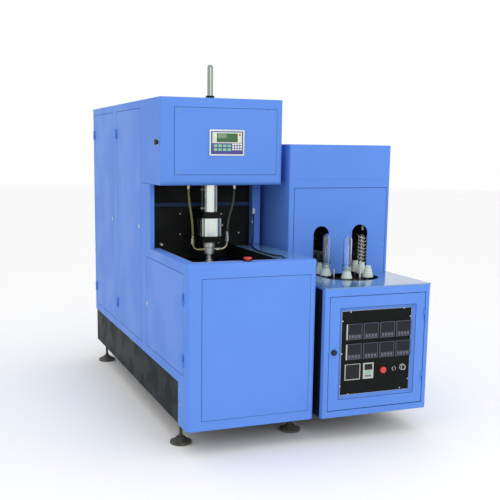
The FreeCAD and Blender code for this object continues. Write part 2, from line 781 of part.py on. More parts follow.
def oven_housing():
    """Oven case, open below and at the front for the arched panel."""
    outer = block(body_x, (oven_front, heater_back), (deck_z, heater_top))
    outer = rounded(outer, 8.0, dict(x=body_x[1], y=oven_front), dict(x=body_x[0], y=oven_front))
    hollow = block((body_x[0] + sheet, body_x[1] - sheet), (oven_front + sheet, heater_back - sheet),
                   (deck_z - 1, heater_top - sheet))
    mouth = block((oven_panel_x[0] - 1.5, oven_panel_x[1] + 1.5), (oven_front - 1, oven_front + sheet + 1),
                  (deck_z - 1, oven_panel_top + 1.5))
    groove = block((760, 1328), (oven_front - 1, oven_front + 1.2), (groove_z - 1.5, groove_z + 1.5))
    return cut(outer, hollow, mouth, groove)


def oven_front_panel():
    """Front panel of the oven with two arches for the preforms to pass."""
    wall = (oven_front - 1, oven_front + sheet + 1)
    plate = block(oven_panel_x, (oven_front, oven_front + sheet), (deck_z, oven_panel_top))
    for x, radius, top in oven_arches:
        middle = top - radius
        plate = plate.cut(block((x - radius, x + radius), wall, (deck_z - 1, middle)))
        plate = plate.cut(rod(radius, (x, wall[0], middle), (x, wall[1], middle)))
    return plate


lamp_x = 1262.0
lamp_y = (590.0, 1240.0)
lamp_heights = [lamp_low + lamp_pitch * k for k in range(lamp_count)]


def lamp_tubes():
    return Part.makeCompound([rod(lamp_radius, (lamp_x, lamp_y[0], z), (lamp_x, lamp_y[1], z))
                              for z in lamp_heights])


def lamp_rack():
    """Reflector sheet that holds two columns of lamp sockets."""
    plate = block((lamp_x + 11, lamp_x + 14), (lamp_y[0] - 35, lamp_y[1] + 35), (deck_z, heater_top - 480))
    sockets = []
    for z in lamp_heights:
        for y in ((lamp_y[0] - 30, lamp_y[0]), (lamp_y[1], lamp_y[1] + 30)):
            sockets.append(block((lamp_x - 9, lamp_x + 11), y, (z - 8, z + 8)))
    return joined(plate, *sockets)


# ---- carrier chain ----
def on_chain(s):
    """Place on the chain's pitch line, s along it from the front end of the left run."""
    arc = math.pi * wheel_radius
    whole = 2 * straight + 2 * arc
    s = s % whole
    if s < arc:
        a = s / wheel_radius
        return wheel_x - wheel_radius * math.cos(a), wheel_y - wheel_radius * math.sin(a)
    s -= arc
    if s < straight:
        return wheel_x + wheel_radius, wheel_y + s
    s -= straight
    if s < arc:
        a = s / wheel_radius
        return wheel_x + wheel_radius * math.cos(a), wheel_back_y + wheel_radius * math.sin(a)
    return wheel_x - wheel_radius, wheel_back_y - (s - arc)


def loop(offset, z):
    """A flat racetrack at an offset from the pitch line."""
    r = wheel_radius + offset
    ends = joined(upright(r, wheel_x, wheel_y, z), upright(r, wheel_x, wheel_back_y, z))
    return joined(ends, block((wheel_x - r, wheel_x + r), (wheel_y, wheel_back_y), z))


chain_length = 2 * straight + 2 * math.pi * wheel_radius
carrier_step = chain_length / carriers
first_station = -100.0
stations = [on_chain(first_station + carrier_step * k) for k in range(carriers)]
bare_stations = (2, 4, 6)
holder_tiers = [(30.0, 12.0), (26.0, 14.0), (22.0, 16.0), (17.0, 20.0)]
holder_height = sum(tier[1] for tier in holder_tiers)
pin_top = holder_z + 45.0


def carrier_chain():
    """Chain of two plate loops on rollers, with an upright pin at every carrier."""
    lower = (chain_z - 8.5, chain_z - 6.0)
    upper = (chain_z + 6.0, chain_z + 8.5)
    plates = [cut(loop(8.0, z), loop(-8.0, (z[0] - 1, z[1] + 1))) for z in (lower, upper)]
    count = carriers * pitches_per_carrier
    places = [on_chain(first_station + chain_length * k / count) for k in range(count)]
    rollers = [upright(roller_radius, *place, (lower[1] - 0.5, upper[0] + 0.5)) for place in places]
    pins = [upright(pin_radius, *place, (upper[0], pin_top)) for place in stations]
    return plates[0].fuse([plates[1]] + rollers + pins)


def tooth_gap(y, turn):
    """Seat of one roller, and the flared way out of it between two teeth."""
    seat = roller_radius + 0.5
    out = V(-math.cos(turn), -math.sin(turn), 0)
    side = V(-out.y, out.x, 0)
    centre = V(wheel_x, y, chain_z - 7) + out * wheel_radius
    far = centre + out * 14
    wide = seat + 4
    corners = [centre + side * seat, far + side * wide, far - side * wide, centre - side * seat,
               centre + side * seat]
    flare = Part.Face(Part.makePolygon(corners)).extrude(V(0, 0, 14))
    return [Part.makeCylinder(seat, 14, centre), flare]


def chain_wheel(y):
    """Toothed wheel on its hub and shaft."""
    disc = upright(wheel_radius + 4, wheel_x, y, (chain_z - 5.6, chain_z + 5.6))
    seats = []
    for k in range(teeth):
        seats += tooth_gap(y, 2 * math.pi * k / teeth + wheel_phase)
    disc = disc.cut(seats)
    hub = upright(35.0, wheel_x, y, (shelf_z + shelf + 1, chain_z - 5))
    return joined(disc, hub, upright(shaft_radius, wheel_x, y, (shelf_z - 30, chain_z)))


wheel_phase = first_station / wheel_radius


def front_sprocket():
    return chain_wheel(wheel_y)


def rear_sprocket():
    return chain_wheel(wheel_back_y)


def drive_motor():
    """Gear motor hung under the shelf, bored for the front wheel's shaft."""
    gearbox = block((wheel_x - 60, wheel_x + 60), (wheel_y - 60, wheel_y + 60), (shelf_z - 75, shelf_z))
    motor = upright(48.0, wheel_x, wheel_y, (shelf_z - 205, shelf_z - 75))
    bore = upright(shaft_radius + running, wheel_x, wheel_y, (shelf_z - 40, shelf_z + 1))
    return cut(joined(gearbox, motor), bore)


def preform_holder(place):
    """Stepped white holder, bored to turn on its pin."""
    low = holder_z
    steps = []
    for radius, tall in holder_tiers:
        steps.append((radius, low, low + tall))
        low += tall
    body = turned(*place, steps)
    return cut(body, upright(pin_radius + running, *place, (holder_z - 1, pin_top + 0.5)))


def oven_holders():
    taken = bare_stations + (1, 3)
    return Part.makeCompound([preform_holder(place) for k, place in enumerate(stations) if k not in taken])


preform_radius = 24.0
preform_wall = 3.5
preform_top = 1060.0


def preform(place):
    """Preform, mouth down over the holder's top tier."""
    mouth = holder_z + holder_height - holder_tiers[3][1]
    dome_z = preform_top - preform_radius
    neck_ring = (preform_radius + 4, mouth + 26, mouth + 30)
    outside = turned(*place, [(preform_radius, mouth, dome_z), neck_ring])
    dome = Part.makeSphere(preform_radius, V(*place, dome_z))
    inside = upright(preform_radius - preform_wall, *place, (mouth - 1, dome_z))
    inner_dome = Part.makeSphere(preform_radius - preform_wall, V(*place, dome_z))
    return cut(joined(outside, dome), joined(inside, inner_dome))


# ---- control door ----
recess_front_x = (828.0, 1285.0)
recess_front_z = (222.0, 714.0)
recess_back_x = (846.0, 1268.0)
recess_back_z = (239.0, 694.0)
panel_y = heater_front + recess
meter_width = 92.0
meter_height = 86.0
meter_x = (876.0, 975.0, 1074.0, 1173.0)
meter_z = (538.0, 430.0)
small_meters = [((871.0, 963.0), (320.0, 406.0)), ((981.0, 1043.0), (320.0, 406.0))]
panel_button_place = (1099.0, 362.0)
key_place = (1167.0, 363.0)
knob_place = (1221.0, 367.0)
door_knob_place = (795.0, 481.0)
control_stem = 8.0


def control_door():
    """Door with a bevelled recess round the instrument panel."""
    face = heater_front
    pan = block(door_x, (face, panel_y), door_z)
    pan = rounded(pan, 3.0, dict(y=face))
    pocket = block((door_x[0] + 2, door_x[1] - 2), (face + 2, panel_y + 1), (door_z[0] + 2, door_z[1] - 2))
    grow = 2.0
    wall = funnel(((recess_front_x[0] - grow, recess_front_x[1] + grow),
                   (recess_front_z[0] - grow, recess_front_z[1] + grow), face + 0.5),
                  ((recess_back_x[0] - grow, recess_back_x[1] + grow),
                   (recess_back_z[0] - grow, recess_back_z[1] + grow), panel_y))
    hole = funnel((recess_front_x, recess_front_z, face), (recess_back_x, recess_back_z, panel_y))
    through = block(recess_front_x, (face - 1, face), recess_front_z)
    back = block(recess_back_x, (panel_y - 0.01, panel_y + 1), recess_back_z)
    door = cut(joined(cut(pan, pocket), wall), hole, through, back)
    hinges = [leaf_hinge(control_hinge_x, face - hinge_stand, at, -1, "x") for at in control_hinge_heights]
    x, z = door_knob_place
    return cut(joined(door, *hinges), rod(lock_radius + running, (x, face - 5, z), (x, panel_y + 5, z)))


def meters():
    """Outline of every panel meter, as (x pair, z pair)."""
    wide = [((x, x + meter_width), (z, z + meter_height)) for z in meter_z for x in meter_x]
    return wide + small_meters


def instrument_panel():
    plate = block((recess_back_x[0] - 8, recess_back_x[1] + 8), (panel_y, panel_y + sheet),
                  (recess_back_z[0] - 8, recess_back_z[1] + 8))
    wall = (panel_y - 1, panel_y + sheet + 1)
    holes = [block((x[0] + 3.5, x[1] - 3.5), wall, (z[0] + 3.5, z[1] - 3.5)) for x, z in meters()]
    for x, z in (panel_button_place, key_place, knob_place):
        holes.append(rod(control_stem + running, (x, wall[0], z), (x, wall[1], z)))
    return cut(plate, *holes)


def panel_meters():
    """Lamp regulators, timer and speed unit: bezel in front, body through the panel."""
    solids = []
    for x, z in meters():
        bezel = block(x, (panel_y - 7, panel_y), z)
        bezel = rounded(bezel, 3.0, dict(y=panel_y - 7))
        body = block((x[0] + 4, x[1] - 4), (panel_y - 1, panel_y + 58), (z[0] + 4, z[1] - 4))
        solids.append(joined(bezel, body))
    return Part.makeCompound(solids)


def panel_control(place, radius, low, high, rim):
    """A round control on the panel: its cap from low to high in front, and the stem through."""
    x, z = place
    cap = rod(radius, (x, panel_y - high, z), (x, panel_y - low, z))
    cap = rounded(cap, rim, dict(y=panel_y - high))
    return joined(cap, rod(control_stem, (x, panel_y - low - 1, z), (x, panel_y + 22, z)))


def panel_button():
    return panel_control(panel_button_place, 18.0, 6.0, 18.0, 3.0)


def key_switch():
    """Selector with a raised bar across its face."""
    x, z = key_place
    bar = block((x - 3, x + 3), (panel_y - 20, panel_y - 9), (z - 11, z + 11))
    return joined(panel_control(key_place, 13.0, 0.5, 10.0, 1.5), bar)


def speed_knob():
    return panel_control(knob_place, 17.0, 0.5, 16.0, 2.0)


def door_knob():
    """Round black quarter-turn knob with the cam behind the door."""
    x, z = door_knob_place
    face = heater_front
    cap = rounded(rod(15.0, (x, face - 12, z), (x, face - 0.3, z)), 2.0, dict(y=face - 12))
    barrel = rod(lock_radius, (x, face - 1, z), (x, panel_y + 1, z))
    cam = block((x - 6, x + 6), (panel_y + 1, panel_y + 4), (z - 8, z + 34))
    return joined(cap, barrel, cam)


# ---- small fasteners ----
panel_screws = [(101.0, 1720.0), (627.0, 1722.0), (101.0, 1398.0), (638.0, 1398.0)]
oven_screws = [(782.0, 981.0), (1338.0, 979.0)]
bulkhead_bolts = [(225.0, 1147.0), (225.0, 1029.0), (479.0, 1143.0), (111.0, 972.0), (590.0, 1029.0)]
toe_screws = [160.0, 240.0, 320.0]


def screw(centre, towards, radius, tall):
    """A domed head standing on a face."""
    head = Part.makeCylinder(radius, tall, V(*centre), V(*towards))
    end = [edge for edge in head.Edges if edge.CenterOfMass.distanceToPoint(V(*centre)) > tall * 0.9
           and edge.Closed]
    return head.makeFillet(tall * 0.45, end)


def cover_screws():
    front = (0, -1, 0)
    screws = [screw((x, head_front - panel_proud, z), front, 5.0, 2.5) for x, z in panel_screws]
    screws += [screw((x, oven_front, z), front, 4.5, 2.5) for x, z in oven_screws]
    screws += [screw((x, bulkhead_y, z), front, 7.0, 5.0) for x, z in bulkhead_bolts]
    screws += [screw((0, front_toe - 30, z), (-1, 0, 0), 4.0, 2.0) for z in toe_screws]
    return Part.makeCompound(screws)


def build():
    """Every sub-part in its place in the machine."""
    nodes = {
        "base_frame": base_frame(),
        "levelling_feet": levelling_feet(),
        "cabinet_frame": cabinet_frame(),
        "left_side_frames": left_side_frames(),
        "cabinet_panels": cabinet_panels(),
        "air_inlet": air_inlet(),
        "head_hood": head_hood(),
        "head_panel": head_panel(),
        "hmi_case": hmi_case(),
        "side_button": side_button(),
        "front_frame": front_frame(),
        "front_panel": front_panel(),
        "emergency_button": emergency_button(),
        "deck_strip": deck_strip(),
        "inner_guard": inner_guard(),
        "stretch_cylinder": stretch_cylinder(),
        "seal_cylinder": seal_cylinder(),
        "blow_nozzle": blow_nozzle(),
        "nozzle_fittings": nozzle_fittings(),
        "stretch_rod": stretch_rod(),
        "air_hose_left": line_tube(left_hose_route, hose_radius, "air_hose_left"),
        "air_hose_right": line_tube(right_hose_route, hose_radius, "air_hose_right"),
        "sensor_connector": block(connector_x, (post_y - 12, post_y), connector_z),
        "sensor_cable": line_tube(sensor_cable_route, cable_radius, "sensor_cable"),
        "tie_bars": tie_bars(),
        "mould_bed": mould_bed(),
        "front_platen": front_platen(),
        "front_mould": front_mould(),
        "clamp_cylinder": clamp_cylinder(),
        "rear_platen": rear_platen(),
        "rear_mould": rear_mould(),
        "heater_body": heater_body(),
        "heater_deck": heater_deck(),
        "oven_housing": oven_housing(),
        "oven_front_panel": oven_front_panel(),
        "lamp_tubes": lamp_tubes(),
        "lamp_rack": lamp_rack(),
        "carrier_chain": carrier_chain(),
        "front_sprocket": front_sprocket(),
        "rear_sprocket": rear_sprocket(),
        "drive_motor": drive_motor(),
        "preform_holder_a": preform_holder(stations[1]),
        "preform_holder_b": preform_holder(stations[3]),
        "oven_holders": oven_holders(),
        "preform_a": preform(stations[1]),
        "preform_b": preform(stations[3]),
        "control_door": control_door(),
        "instrument_panel": instrument_panel(),
        "panel_meters": panel_meters(),
        "panel_button": panel_button(),
        "key_switch": key_switch(),
        "speed_knob": speed_knob(),
        "door_knob": door_knob(),
        "cover_screws": cover_screws(),
    }
    for name in doors:
        nodes[name] = side_door(name)
        nodes[name + "_lock"] = side_lock(name)
    return nodes


def main():
    nodes = build()
    whole = FreeCAD.BoundBox()
    for shape in nodes.values():
        whole.add(shape.BoundBox)
    origin = V(whole.Center.x, whole.Center.y, whole.ZMin)
    os.makedirs("parts", exist_ok=True)
    for name, shape in nodes.items():
        shape.translate(origin * -1)
        shape.exportStep("parts/" + name + ".step")
        print(name, len(shape.Solids), "solids", round(shape.Volume / 1000), "cm3", shape.isValid())
    print("origin", origin, "size", whole.XLength, whole.YLength, whole.ZLength, "nodes", len(nodes))
    return origin


if __name__ == "__main__":
    main()
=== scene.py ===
import json
import math

import bmesh
import bpy
from mathutils import Matrix, Vector


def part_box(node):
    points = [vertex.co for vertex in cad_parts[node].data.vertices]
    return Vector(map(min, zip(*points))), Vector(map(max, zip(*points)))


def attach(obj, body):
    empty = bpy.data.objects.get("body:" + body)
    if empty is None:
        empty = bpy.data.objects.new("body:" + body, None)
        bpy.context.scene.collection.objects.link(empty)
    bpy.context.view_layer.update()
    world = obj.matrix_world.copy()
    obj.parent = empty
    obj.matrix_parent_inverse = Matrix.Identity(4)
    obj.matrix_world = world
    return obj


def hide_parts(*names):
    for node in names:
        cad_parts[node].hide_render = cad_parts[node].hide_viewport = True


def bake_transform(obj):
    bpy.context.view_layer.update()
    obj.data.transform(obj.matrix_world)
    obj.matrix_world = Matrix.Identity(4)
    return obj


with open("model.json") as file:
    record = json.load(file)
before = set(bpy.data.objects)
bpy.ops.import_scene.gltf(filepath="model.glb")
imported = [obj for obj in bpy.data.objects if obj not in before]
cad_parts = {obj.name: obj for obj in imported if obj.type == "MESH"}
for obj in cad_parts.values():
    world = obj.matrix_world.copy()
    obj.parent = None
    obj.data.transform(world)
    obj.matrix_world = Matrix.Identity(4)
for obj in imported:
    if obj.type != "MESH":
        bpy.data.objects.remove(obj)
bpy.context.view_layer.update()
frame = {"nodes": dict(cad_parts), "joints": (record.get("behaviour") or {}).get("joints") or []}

# sizes below are in millimetres, from the left front corner of the lower box, up from the floor
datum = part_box("front_frame")[0]
jointAt = {joint["name"]: Vector(joint["pos_m"]) for joint in frame["joints"] if joint.get("pos_m")}
upward, downward, toFront, toBack, toLeft = (0, 0, 1), (0, 0, -1), (0, -1, 0), (0, 1, 0), (-1, 0, 0)


def at(x, y, z):
    return Vector((datum.x + x / 1000, datum.y + y / 1000, z / 1000))


# ---------- camera and light
view = dict(eye=(-1190.4, -3770.0, 1521.1), heading=0.36071, tilt=0.16191, roll=0.010957,
            lens=59.8, shift=(0.0361, 0.0696))


def addCamera():
    heading, tilt, roll = view["heading"], view["tilt"], view["roll"]
    ahead = Vector((math.sin(heading) * math.cos(tilt), math.cos(heading) * math.cos(tilt), -math.sin(tilt)))
    level = Vector((math.cos(heading), -math.sin(heading), 0))
    above = level.cross(ahead)
    across = level * math.cos(roll) + above * math.sin(roll)
    above = above * math.cos(roll) - level * math.sin(roll)
    data = bpy.data.cameras.new("camera")
    data.lens = view["lens"]
    data.shift_x, data.shift_y = view["shift"]
    data.clip_end = 100
    camera = bpy.data.objects.new("camera", data)
    turn = Matrix((across, above, -ahead)).transposed().to_4x4()
    camera.matrix_world = Matrix.Translation(at(*view["eye"])) @ turn
    bpy.context.scene.collection.objects.link(camera)
    bpy.context.scene.camera = camera


lamps = dict(
    key=dict(place=(900, -4200, 2600), aim=(600, 300, 900), size=2.2, power=46),
    fill=dict(place=(-3600, -1800, 2400), aim=(300, 600, 900), size=3.0, power=6),
    top=dict(place=(700, 900, 4600), aim=(700, 900, 0), size=3.0, power=14),
)
air = dict(colour=(1.0, 1.0, 1.0, 1), strength=1.0)


def addLights():
    for name, lamp in lamps.items():
        data = bpy.data.lights.new(name, "AREA")
        data.size = lamp["size"]
        data.energy = lamp["power"]
        light = bpy.data.objects.new(name, data)
        turn = (at(*lamp["aim"]) - at(*lamp["place"])).to_track_quat("-Z", "Y").to_matrix().to_4x4()
        light.matrix_world = Matrix.Translation(at(*lamp["place"])) @ turn
        bpy.context.scene.collection.objects.link(light)
    world = bpy.data.worlds.new("studio")
    world.use_nodes = True
    backdrop = world.node_tree.nodes["Background"]
    backdrop.inputs["Color"].default_value = air["colour"]
    backdrop.inputs["Strength"].default_value = air["strength"]
    bpy.context.scene.world = world
    bpy.context.scene.view_settings.view_transform = "Standard"


addCamera()
addLights()
print("camera and lights")


# ---------- node helpers
def addNode(tree, kind, values=None, **settings):
    node = tree.nodes.new(kind)
    for key, value in settings.items():
        setattr(node, key, value)
    for key, value in (values or {}).items():
        if isinstance(value, bpy.types.NodeSocket):
            tree.links.new(value, node.inputs[key])
        else:
            node.inputs[key].default_value = value
    return node


def startGroup(name, kind, inputs, outputs):
    group = bpy.data.node_groups.new(name, kind)
    for label, socketKind, value in inputs:
        socket = group.interface.new_socket(label, in_out="INPUT", socket_type="NodeSocket" + socketKind)
        if value is not None:
            socket.default_value = value
    for label, socketKind in outputs:
        group.interface.new_socket(label, in_out="OUTPUT", socket_type="NodeSocket" + socketKind)
    return group, group.nodes.new("NodeGroupInput").outputs, group.nodes.new("NodeGroupOutput").inputs


def math2(tree, operation, a, b=0.0):
    return addNode(tree, "ShaderNodeMath", {0: a, 1: b}, operation=operation).outputs[0]


def vector2(tree, operation, a, b):
    return addNode(tree, "ShaderNodeVectorMath", {0: a, 1: b}, operation=operation).outputs[0]


def mixColours(tree, share, a, b):
    return addNode(tree, "ShaderNodeMix", {0: share, 6: a, 7: b}, data_type="RGBA").outputs[2]


def mapRange(tree, value, source, target=(0.0, 1.0)):
    return addNode(tree, "ShaderNodeMapRange", {"Value": value, "From Min": source[0], "From Max": source[1],
                                                "To Min": target[0], "To Max": target[1]}).outputs[0]


def noiseOf(tree, place, scale, detail):
    return addNode(tree, "ShaderNodeTexNoise", {"Vector": place, "Scale": scale, "Detail": detail}).outputs[0]


def bumpOf(tree, height, distance, strength=1.0):
    return addNode(tree, "ShaderNodeBump", {"Strength": strength, "Distance": distance,
                                            "Height": height}).outputs[0]


def coordinates(tree, kind="Object"):
    return addNode(tree, "ShaderNodeTexCoord").outputs[kind]


# ---------- shared effects
def makeToneGroup():
    # soft patches of a second colour, and the same patches as a number
    group, given, result = startGroup(
        "tonePatches", "ShaderNodeTree",
        [("Base", "Color", None), ("Shade", "Color", None), ("Size", "Float", 3.0), ("Amount", "Float", 0.5)],
        [("Color", "Color"), ("Patches", "Float")])
    patches = mapRange(group, noiseOf(group, coordinates(group), given["Size"], 4.0), (0.34, 0.68))
    share = math2(group, "MULTIPLY", patches, given["Amount"])
    group.links.new(mixColours(group, share, given["Base"], given["Shade"]), result["Color"])
    group.links.new(patches, result["Patches"])
    return group


def makeGrainGroup():
    # fine even texture, such as sprayed paint or moulded plastic
    group, given, result = startGroup(
        "fineGrain", "ShaderNodeTree",
        [("Scale", "Float", 400.0), ("Depth", "Float", 0.00004)], [("Normal", "Vector")])
    grain = noiseOf(group, coordinates(group), given["Scale"], 2.0)
    group.links.new(bumpOf(group, grain, given["Depth"]), result["Normal"])
    return group


def makeDustGroup():
    # dust that thins out above a height
    group, given, result = startGroup(
        "floorDust", "ShaderNodeTree",
        [("Color", "Color", None), ("Dust", "Color", (0.20, 0.19, 0.16, 1)), ("Top", "Float", 0.2),
         ("Amount", "Float", 0.5)],
        [("Color", "Color")])
    place = coordinates(group)
    split = addNode(group, "ShaderNodeSeparateXYZ", {0: place}).outputs
    low = mapRange(group, split[2], (0.0, given["Top"]), (1.0, 0.0))
    spots = mapRange(group, noiseOf(group, place, 22.0, 6.0), (0.35, 0.7))
    mask = math2(group, "MULTIPLY", math2(group, "MULTIPLY", low, spots), given["Amount"])
    group.links.new(mixColours(group, mask, given["Color"], given["Dust"]), result["Color"])
    return group


def makeBrushGroup():
    # long thin scratches along the axis with the small stretch
    group, given, result = startGroup(
        "brushLines", "ShaderNodeTree",
        [("Stretch", "Vector", (900.0, 900.0, 12.0)), ("Depth", "Float", 0.00002)],
        [("Lines", "Float"), ("Normal", "Vector")])
    lines = noiseOf(group, vector2(group, "MULTIPLY", coordinates(group), given["Stretch"]), 1.0, 3.0)
    group.links.new(lines, result["Lines"])
    group.links.new(bumpOf(group, lines, given["Depth"]), result["Normal"])
    return group


def makeInsideGroup():
    # 1 inside a box, 0 outside
    group, given, result = startGroup(
        "insideBox", "ShaderNodeTree", [("Low", "Vector", None), ("High", "Vector", None)], [("Mask", "Float")])
    place = coordinates(group)
    least = vector2(group, "MINIMUM", vector2(group, "SUBTRACT", place, given["Low"]),
                    vector2(group, "SUBTRACT", given["High"], place))
    split = addNode(group, "ShaderNodeSeparateXYZ", {0: least}).outputs
    nearest = math2(group, "MINIMUM", math2(group, "MINIMUM", split[0], split[1]), split[2])
    group.links.new(math2(group, "GREATER_THAN", nearest, 0.0), result["Mask"])
    return group


toneGroup = makeToneGroup()
grainGroup = makeGrainGroup()
dustGroup = makeDustGroup()
brushGroup = makeBrushGroup()
insideGroup = makeInsideGroup()


def useGroup(tree, group, values):
    return addNode(tree, "ShaderNodeGroup", values, node_tree=group).outputs


# ---------- materials
looks = {}


def startMaterial(name, fixed):
    looks[name] = bpy.data.materials.new(name)
    looks[name].use_nodes = True
    tree = looks[name].node_tree
    shader = tree.nodes["Principled BSDF"].inputs
    for key, value in fixed.items():
        shader[key].default_value = value
    return tree, shader


def endMaterial(tree, shader, colour, normal, spread, rough):
    # the spread, from 0.3 to 0.7, runs over the two roughness values
    tree.links.new(colour, shader["Base Color"])
    tree.links.new(normal, shader["Normal"])
    tree.links.new(mapRange(tree, spread, (0.3, 0.7), rough), shader["Roughness"])


def toneOf(tree, base, shade, patch, amount):
    return useGroup(tree, toneGroup, {"Base": (*base, 1), "Shade": (*shade, 1), "Size": patch, "Amount": amount})


def addGrainy(name, base, shade, patch, grain, depth, rough, fixed=None, amount=0.5, dust=None, coat=None):
    # painted, moulded or cast: patches of tone, fine grain, dust near the floor, and painted shade that turns the
    # given rooms near black
    tree, shader = startMaterial(name, fixed or {})
    tone = toneOf(tree, base, shade, patch, amount)
    fine = useGroup(tree, grainGroup, {"Scale": grain, "Depth": depth / 1e6})
    colour = tone["Color"]
    if coat:
        masks = [useGroup(tree, insideGroup, {"Low": at(*low), "High": at(*high)})["Mask"]
                 for low, high in coat["rooms"]]
        mask = masks[0]
        for other in masks[1:]:
            mask = math2(tree, "MAXIMUM", mask, other)
        colour = mixColours(tree, mask, colour, (*coat["colour"], 1))
    if dust:
        colour = useGroup(tree, dustGroup, dict(dust, Color=colour))["Color"]
    endMaterial(tree, shader, colour, fine["Normal"], tone["Patches"], rough)


def addBrushed(name, base, shade, stretch, depth, rough, patch=6.0, amount=0.4):
    # ground, drawn or turned metal
    tree, shader = startMaterial(name, {"Metallic": 1.0})
    tone = toneOf(tree, base, shade, patch, amount)
    lines = useGroup(tree, brushGroup, {"Stretch": stretch, "Depth": depth / 1e6})
    endMaterial(tree, shader, tone["Color"], lines["Normal"], lines["Lines"], rough)


# painted shade: the sheets' inner sides go near black in the rooms that they face, for the shade inside the
# cabinets
innerShade = dict(colour=(0.006, 0.008, 0.008), rooms=[
    ((2.6, 30.5, 100), (669, 2212.4, 967.4)),
    ((2.6, 700, 967), (697.4, 2212.4, 1784.4)),
    ((2.6, 496, 1329.6), (669, 878, 1784.4)),
    ((736.9, -5, 100), (1357, 1480, 814.9)),
    ((736.9, 458, 814.9), (1368.3, 1480, 1548.4))])
# painted shade: the heater's left side in the narrow gap beside the main unit goes near black, and its inside too
gapShade = dict(colour=(0.010, 0.014, 0.020), rooms=[
    ((730, 8, 100), (735.4, 1490, 812)), ((736.9, -5, 100), (1357, 1480, 814.9))])
# painted shade: the frame's cross beam behind the bulkhead, a darker blue for the shade inside the station
beamShade = dict(colour=(0.020, 0.045, 0.11), rooms=[((41, 820, 1180), (649, 860, 1225))])

blueBase, blueShade = (0.116, 0.262, 0.73), (0.104, 0.242, 0.69)
matt = {"Specular IOR Level": 0.09}
# base, shade, patches a metre, grains a metre, grain depth in microns, roughness, then what is fixed
grainyLooks = dict(
    bluePaint=(blueBase, blueShade, 2.2, 520, 30, (0.42, 0.52), matt, 0.7, None, innerShade),
    doorPaint=(blueBase, blueShade, 3.1, 520, 30, (0.40, 0.50), matt, 0.7),
    heaterPaint=(blueBase, blueShade, 2.6, 520, 30, (0.42, 0.52), matt, 0.7, None, gapShade),
    framePaint=(blueBase, blueShade, 3.0, 520, 30, (0.40, 0.50), matt, 0.7, None, beamShade),
    deckPaint=((0.10, 0.225, 0.50), (0.12, 0.26, 0.42), 4.0, 260, 20, (0.14, 0.22),
               {"Coat Weight": 0.6, "Coat Roughness": 0.06}, 0.8, None, innerShade),
    blackPaint=((0.005, 0.0095, 0.011), (0.010, 0.016, 0.018), 6.0, 420, 50, (0.45, 0.6),
                {"Specular IOR Level": 0.07}, 0.5, {"Top": 0.34, "Amount": 0.10}),
    guardPaint=((0.0030, 0.0040, 0.0034), (0.0065, 0.0075, 0.0060), 5.0, 420, 50, (0.45, 0.6),
                {"Specular IOR Level": 0.14}),
    panelBlack=((0.005, 0.006, 0.006), (0.009, 0.010, 0.010), 9.0, 900, 10, (0.36, 0.46), matt),
    footRubber=((0.030, 0.034, 0.028), (0.055, 0.058, 0.045), 20.0, 700, 120, (0.65, 0.85), None, 0.5,
                {"Top": 0.09, "Amount": 0.6}),
    darkSteel=((0.022, 0.024, 0.022), (0.045, 0.042, 0.034), 14.0, 300, 60, (0.32, 0.5), {"Metallic": 0.7}, 0.8),
    blackPlastic=((0.010, 0.010, 0.012), (0.018, 0.018, 0.020), 30.0, 1600, 30, (0.32, 0.42),
                  {"Specular IOR Level": 0.3}),
    redPlastic=((0.62, 0.028, 0.016), (0.50, 0.020, 0.012), 40.0, 1200, 10, (0.22, 0.32), {"Coat Weight": 0.4}),
    whiteNylon=((0.70, 0.78, 0.70), (0.60, 0.69, 0.62), 25.0, 900, 20, (0.38, 0.5), {"Subsurface Weight": 0.08}),
    whitePlastic=((0.80, 0.82, 0.74), (0.70, 0.72, 0.64), 40.0, 1200, 20, (0.3, 0.4)),
    cableSheath=((0.008, 0.010, 0.010), (0.014, 0.016, 0.016), 30.0, 1500, 30, (0.35, 0.5)),
    meterGrey=((0.060, 0.060, 0.095), (0.044, 0.044, 0.075), 25.0, 1500, 20, (0.4, 0.5),
               {"Specular IOR Level": 0.3}),
    meterGlass=((0.007, 0.007, 0.014), (0.011, 0.011, 0.020), 12.0, 300, 2, (0.12, 0.2),
                {"Specular IOR Level": 0.25}),
    meterKeyGrey=((0.115, 0.115, 0.155), (0.085, 0.085, 0.12), 40.0, 1500, 20, (0.4, 0.5)),
    # painted shade: dark blue for the shaded gaps between panels and the recess's edge
    seamShade=((0.020, 0.045, 0.16), (0.014, 0.034, 0.12), 20.0, 900, 20, (0.5, 0.6),
                {"Specular IOR Level": 0.2}),
    # pale grey-green, also the painted highlight on the meters' lit left cheeks
    paleFrameAndHighlight=((0.48, 0.52, 0.46), (0.40, 0.43, 0.38), 30.0, 1500, 20, (0.35, 0.45)),
    filmIndigo=((0.060, 0.052, 0.25), (0.050, 0.042, 0.21), 30.0, 1500, 10, (0.35, 0.45)),
    filmCream=((0.62, 0.70, 0.52), (0.55, 0.64, 0.46), 30.0, 1500, 10, (0.35, 0.45)),
    filmGreen=((0.20, 0.50, 0.32), (0.16, 0.43, 0.27), 60.0, 1500, 10, (0.35, 0.45)),
    filmWhite=((0.74, 0.76, 0.74), (0.66, 0.68, 0.68), 60.0, 1500, 10, (0.35, 0.45)),
    displayGlass=((0.022, 0.105, 0.030), (0.030, 0.135, 0.036), 60.0, 400, 1, (0.10, 0.16),
                  {"Coat Weight": 0.5}),
    ceramic=((0.60, 0.60, 0.54), (0.48, 0.47, 0.41), 40.0, 900, 40, (0.45, 0.6)),
    paleFloor=((0.95, 0.95, 0.95), (0.93, 0.93, 0.935), 0.6, 60, 50, (0.6, 0.7)),
)
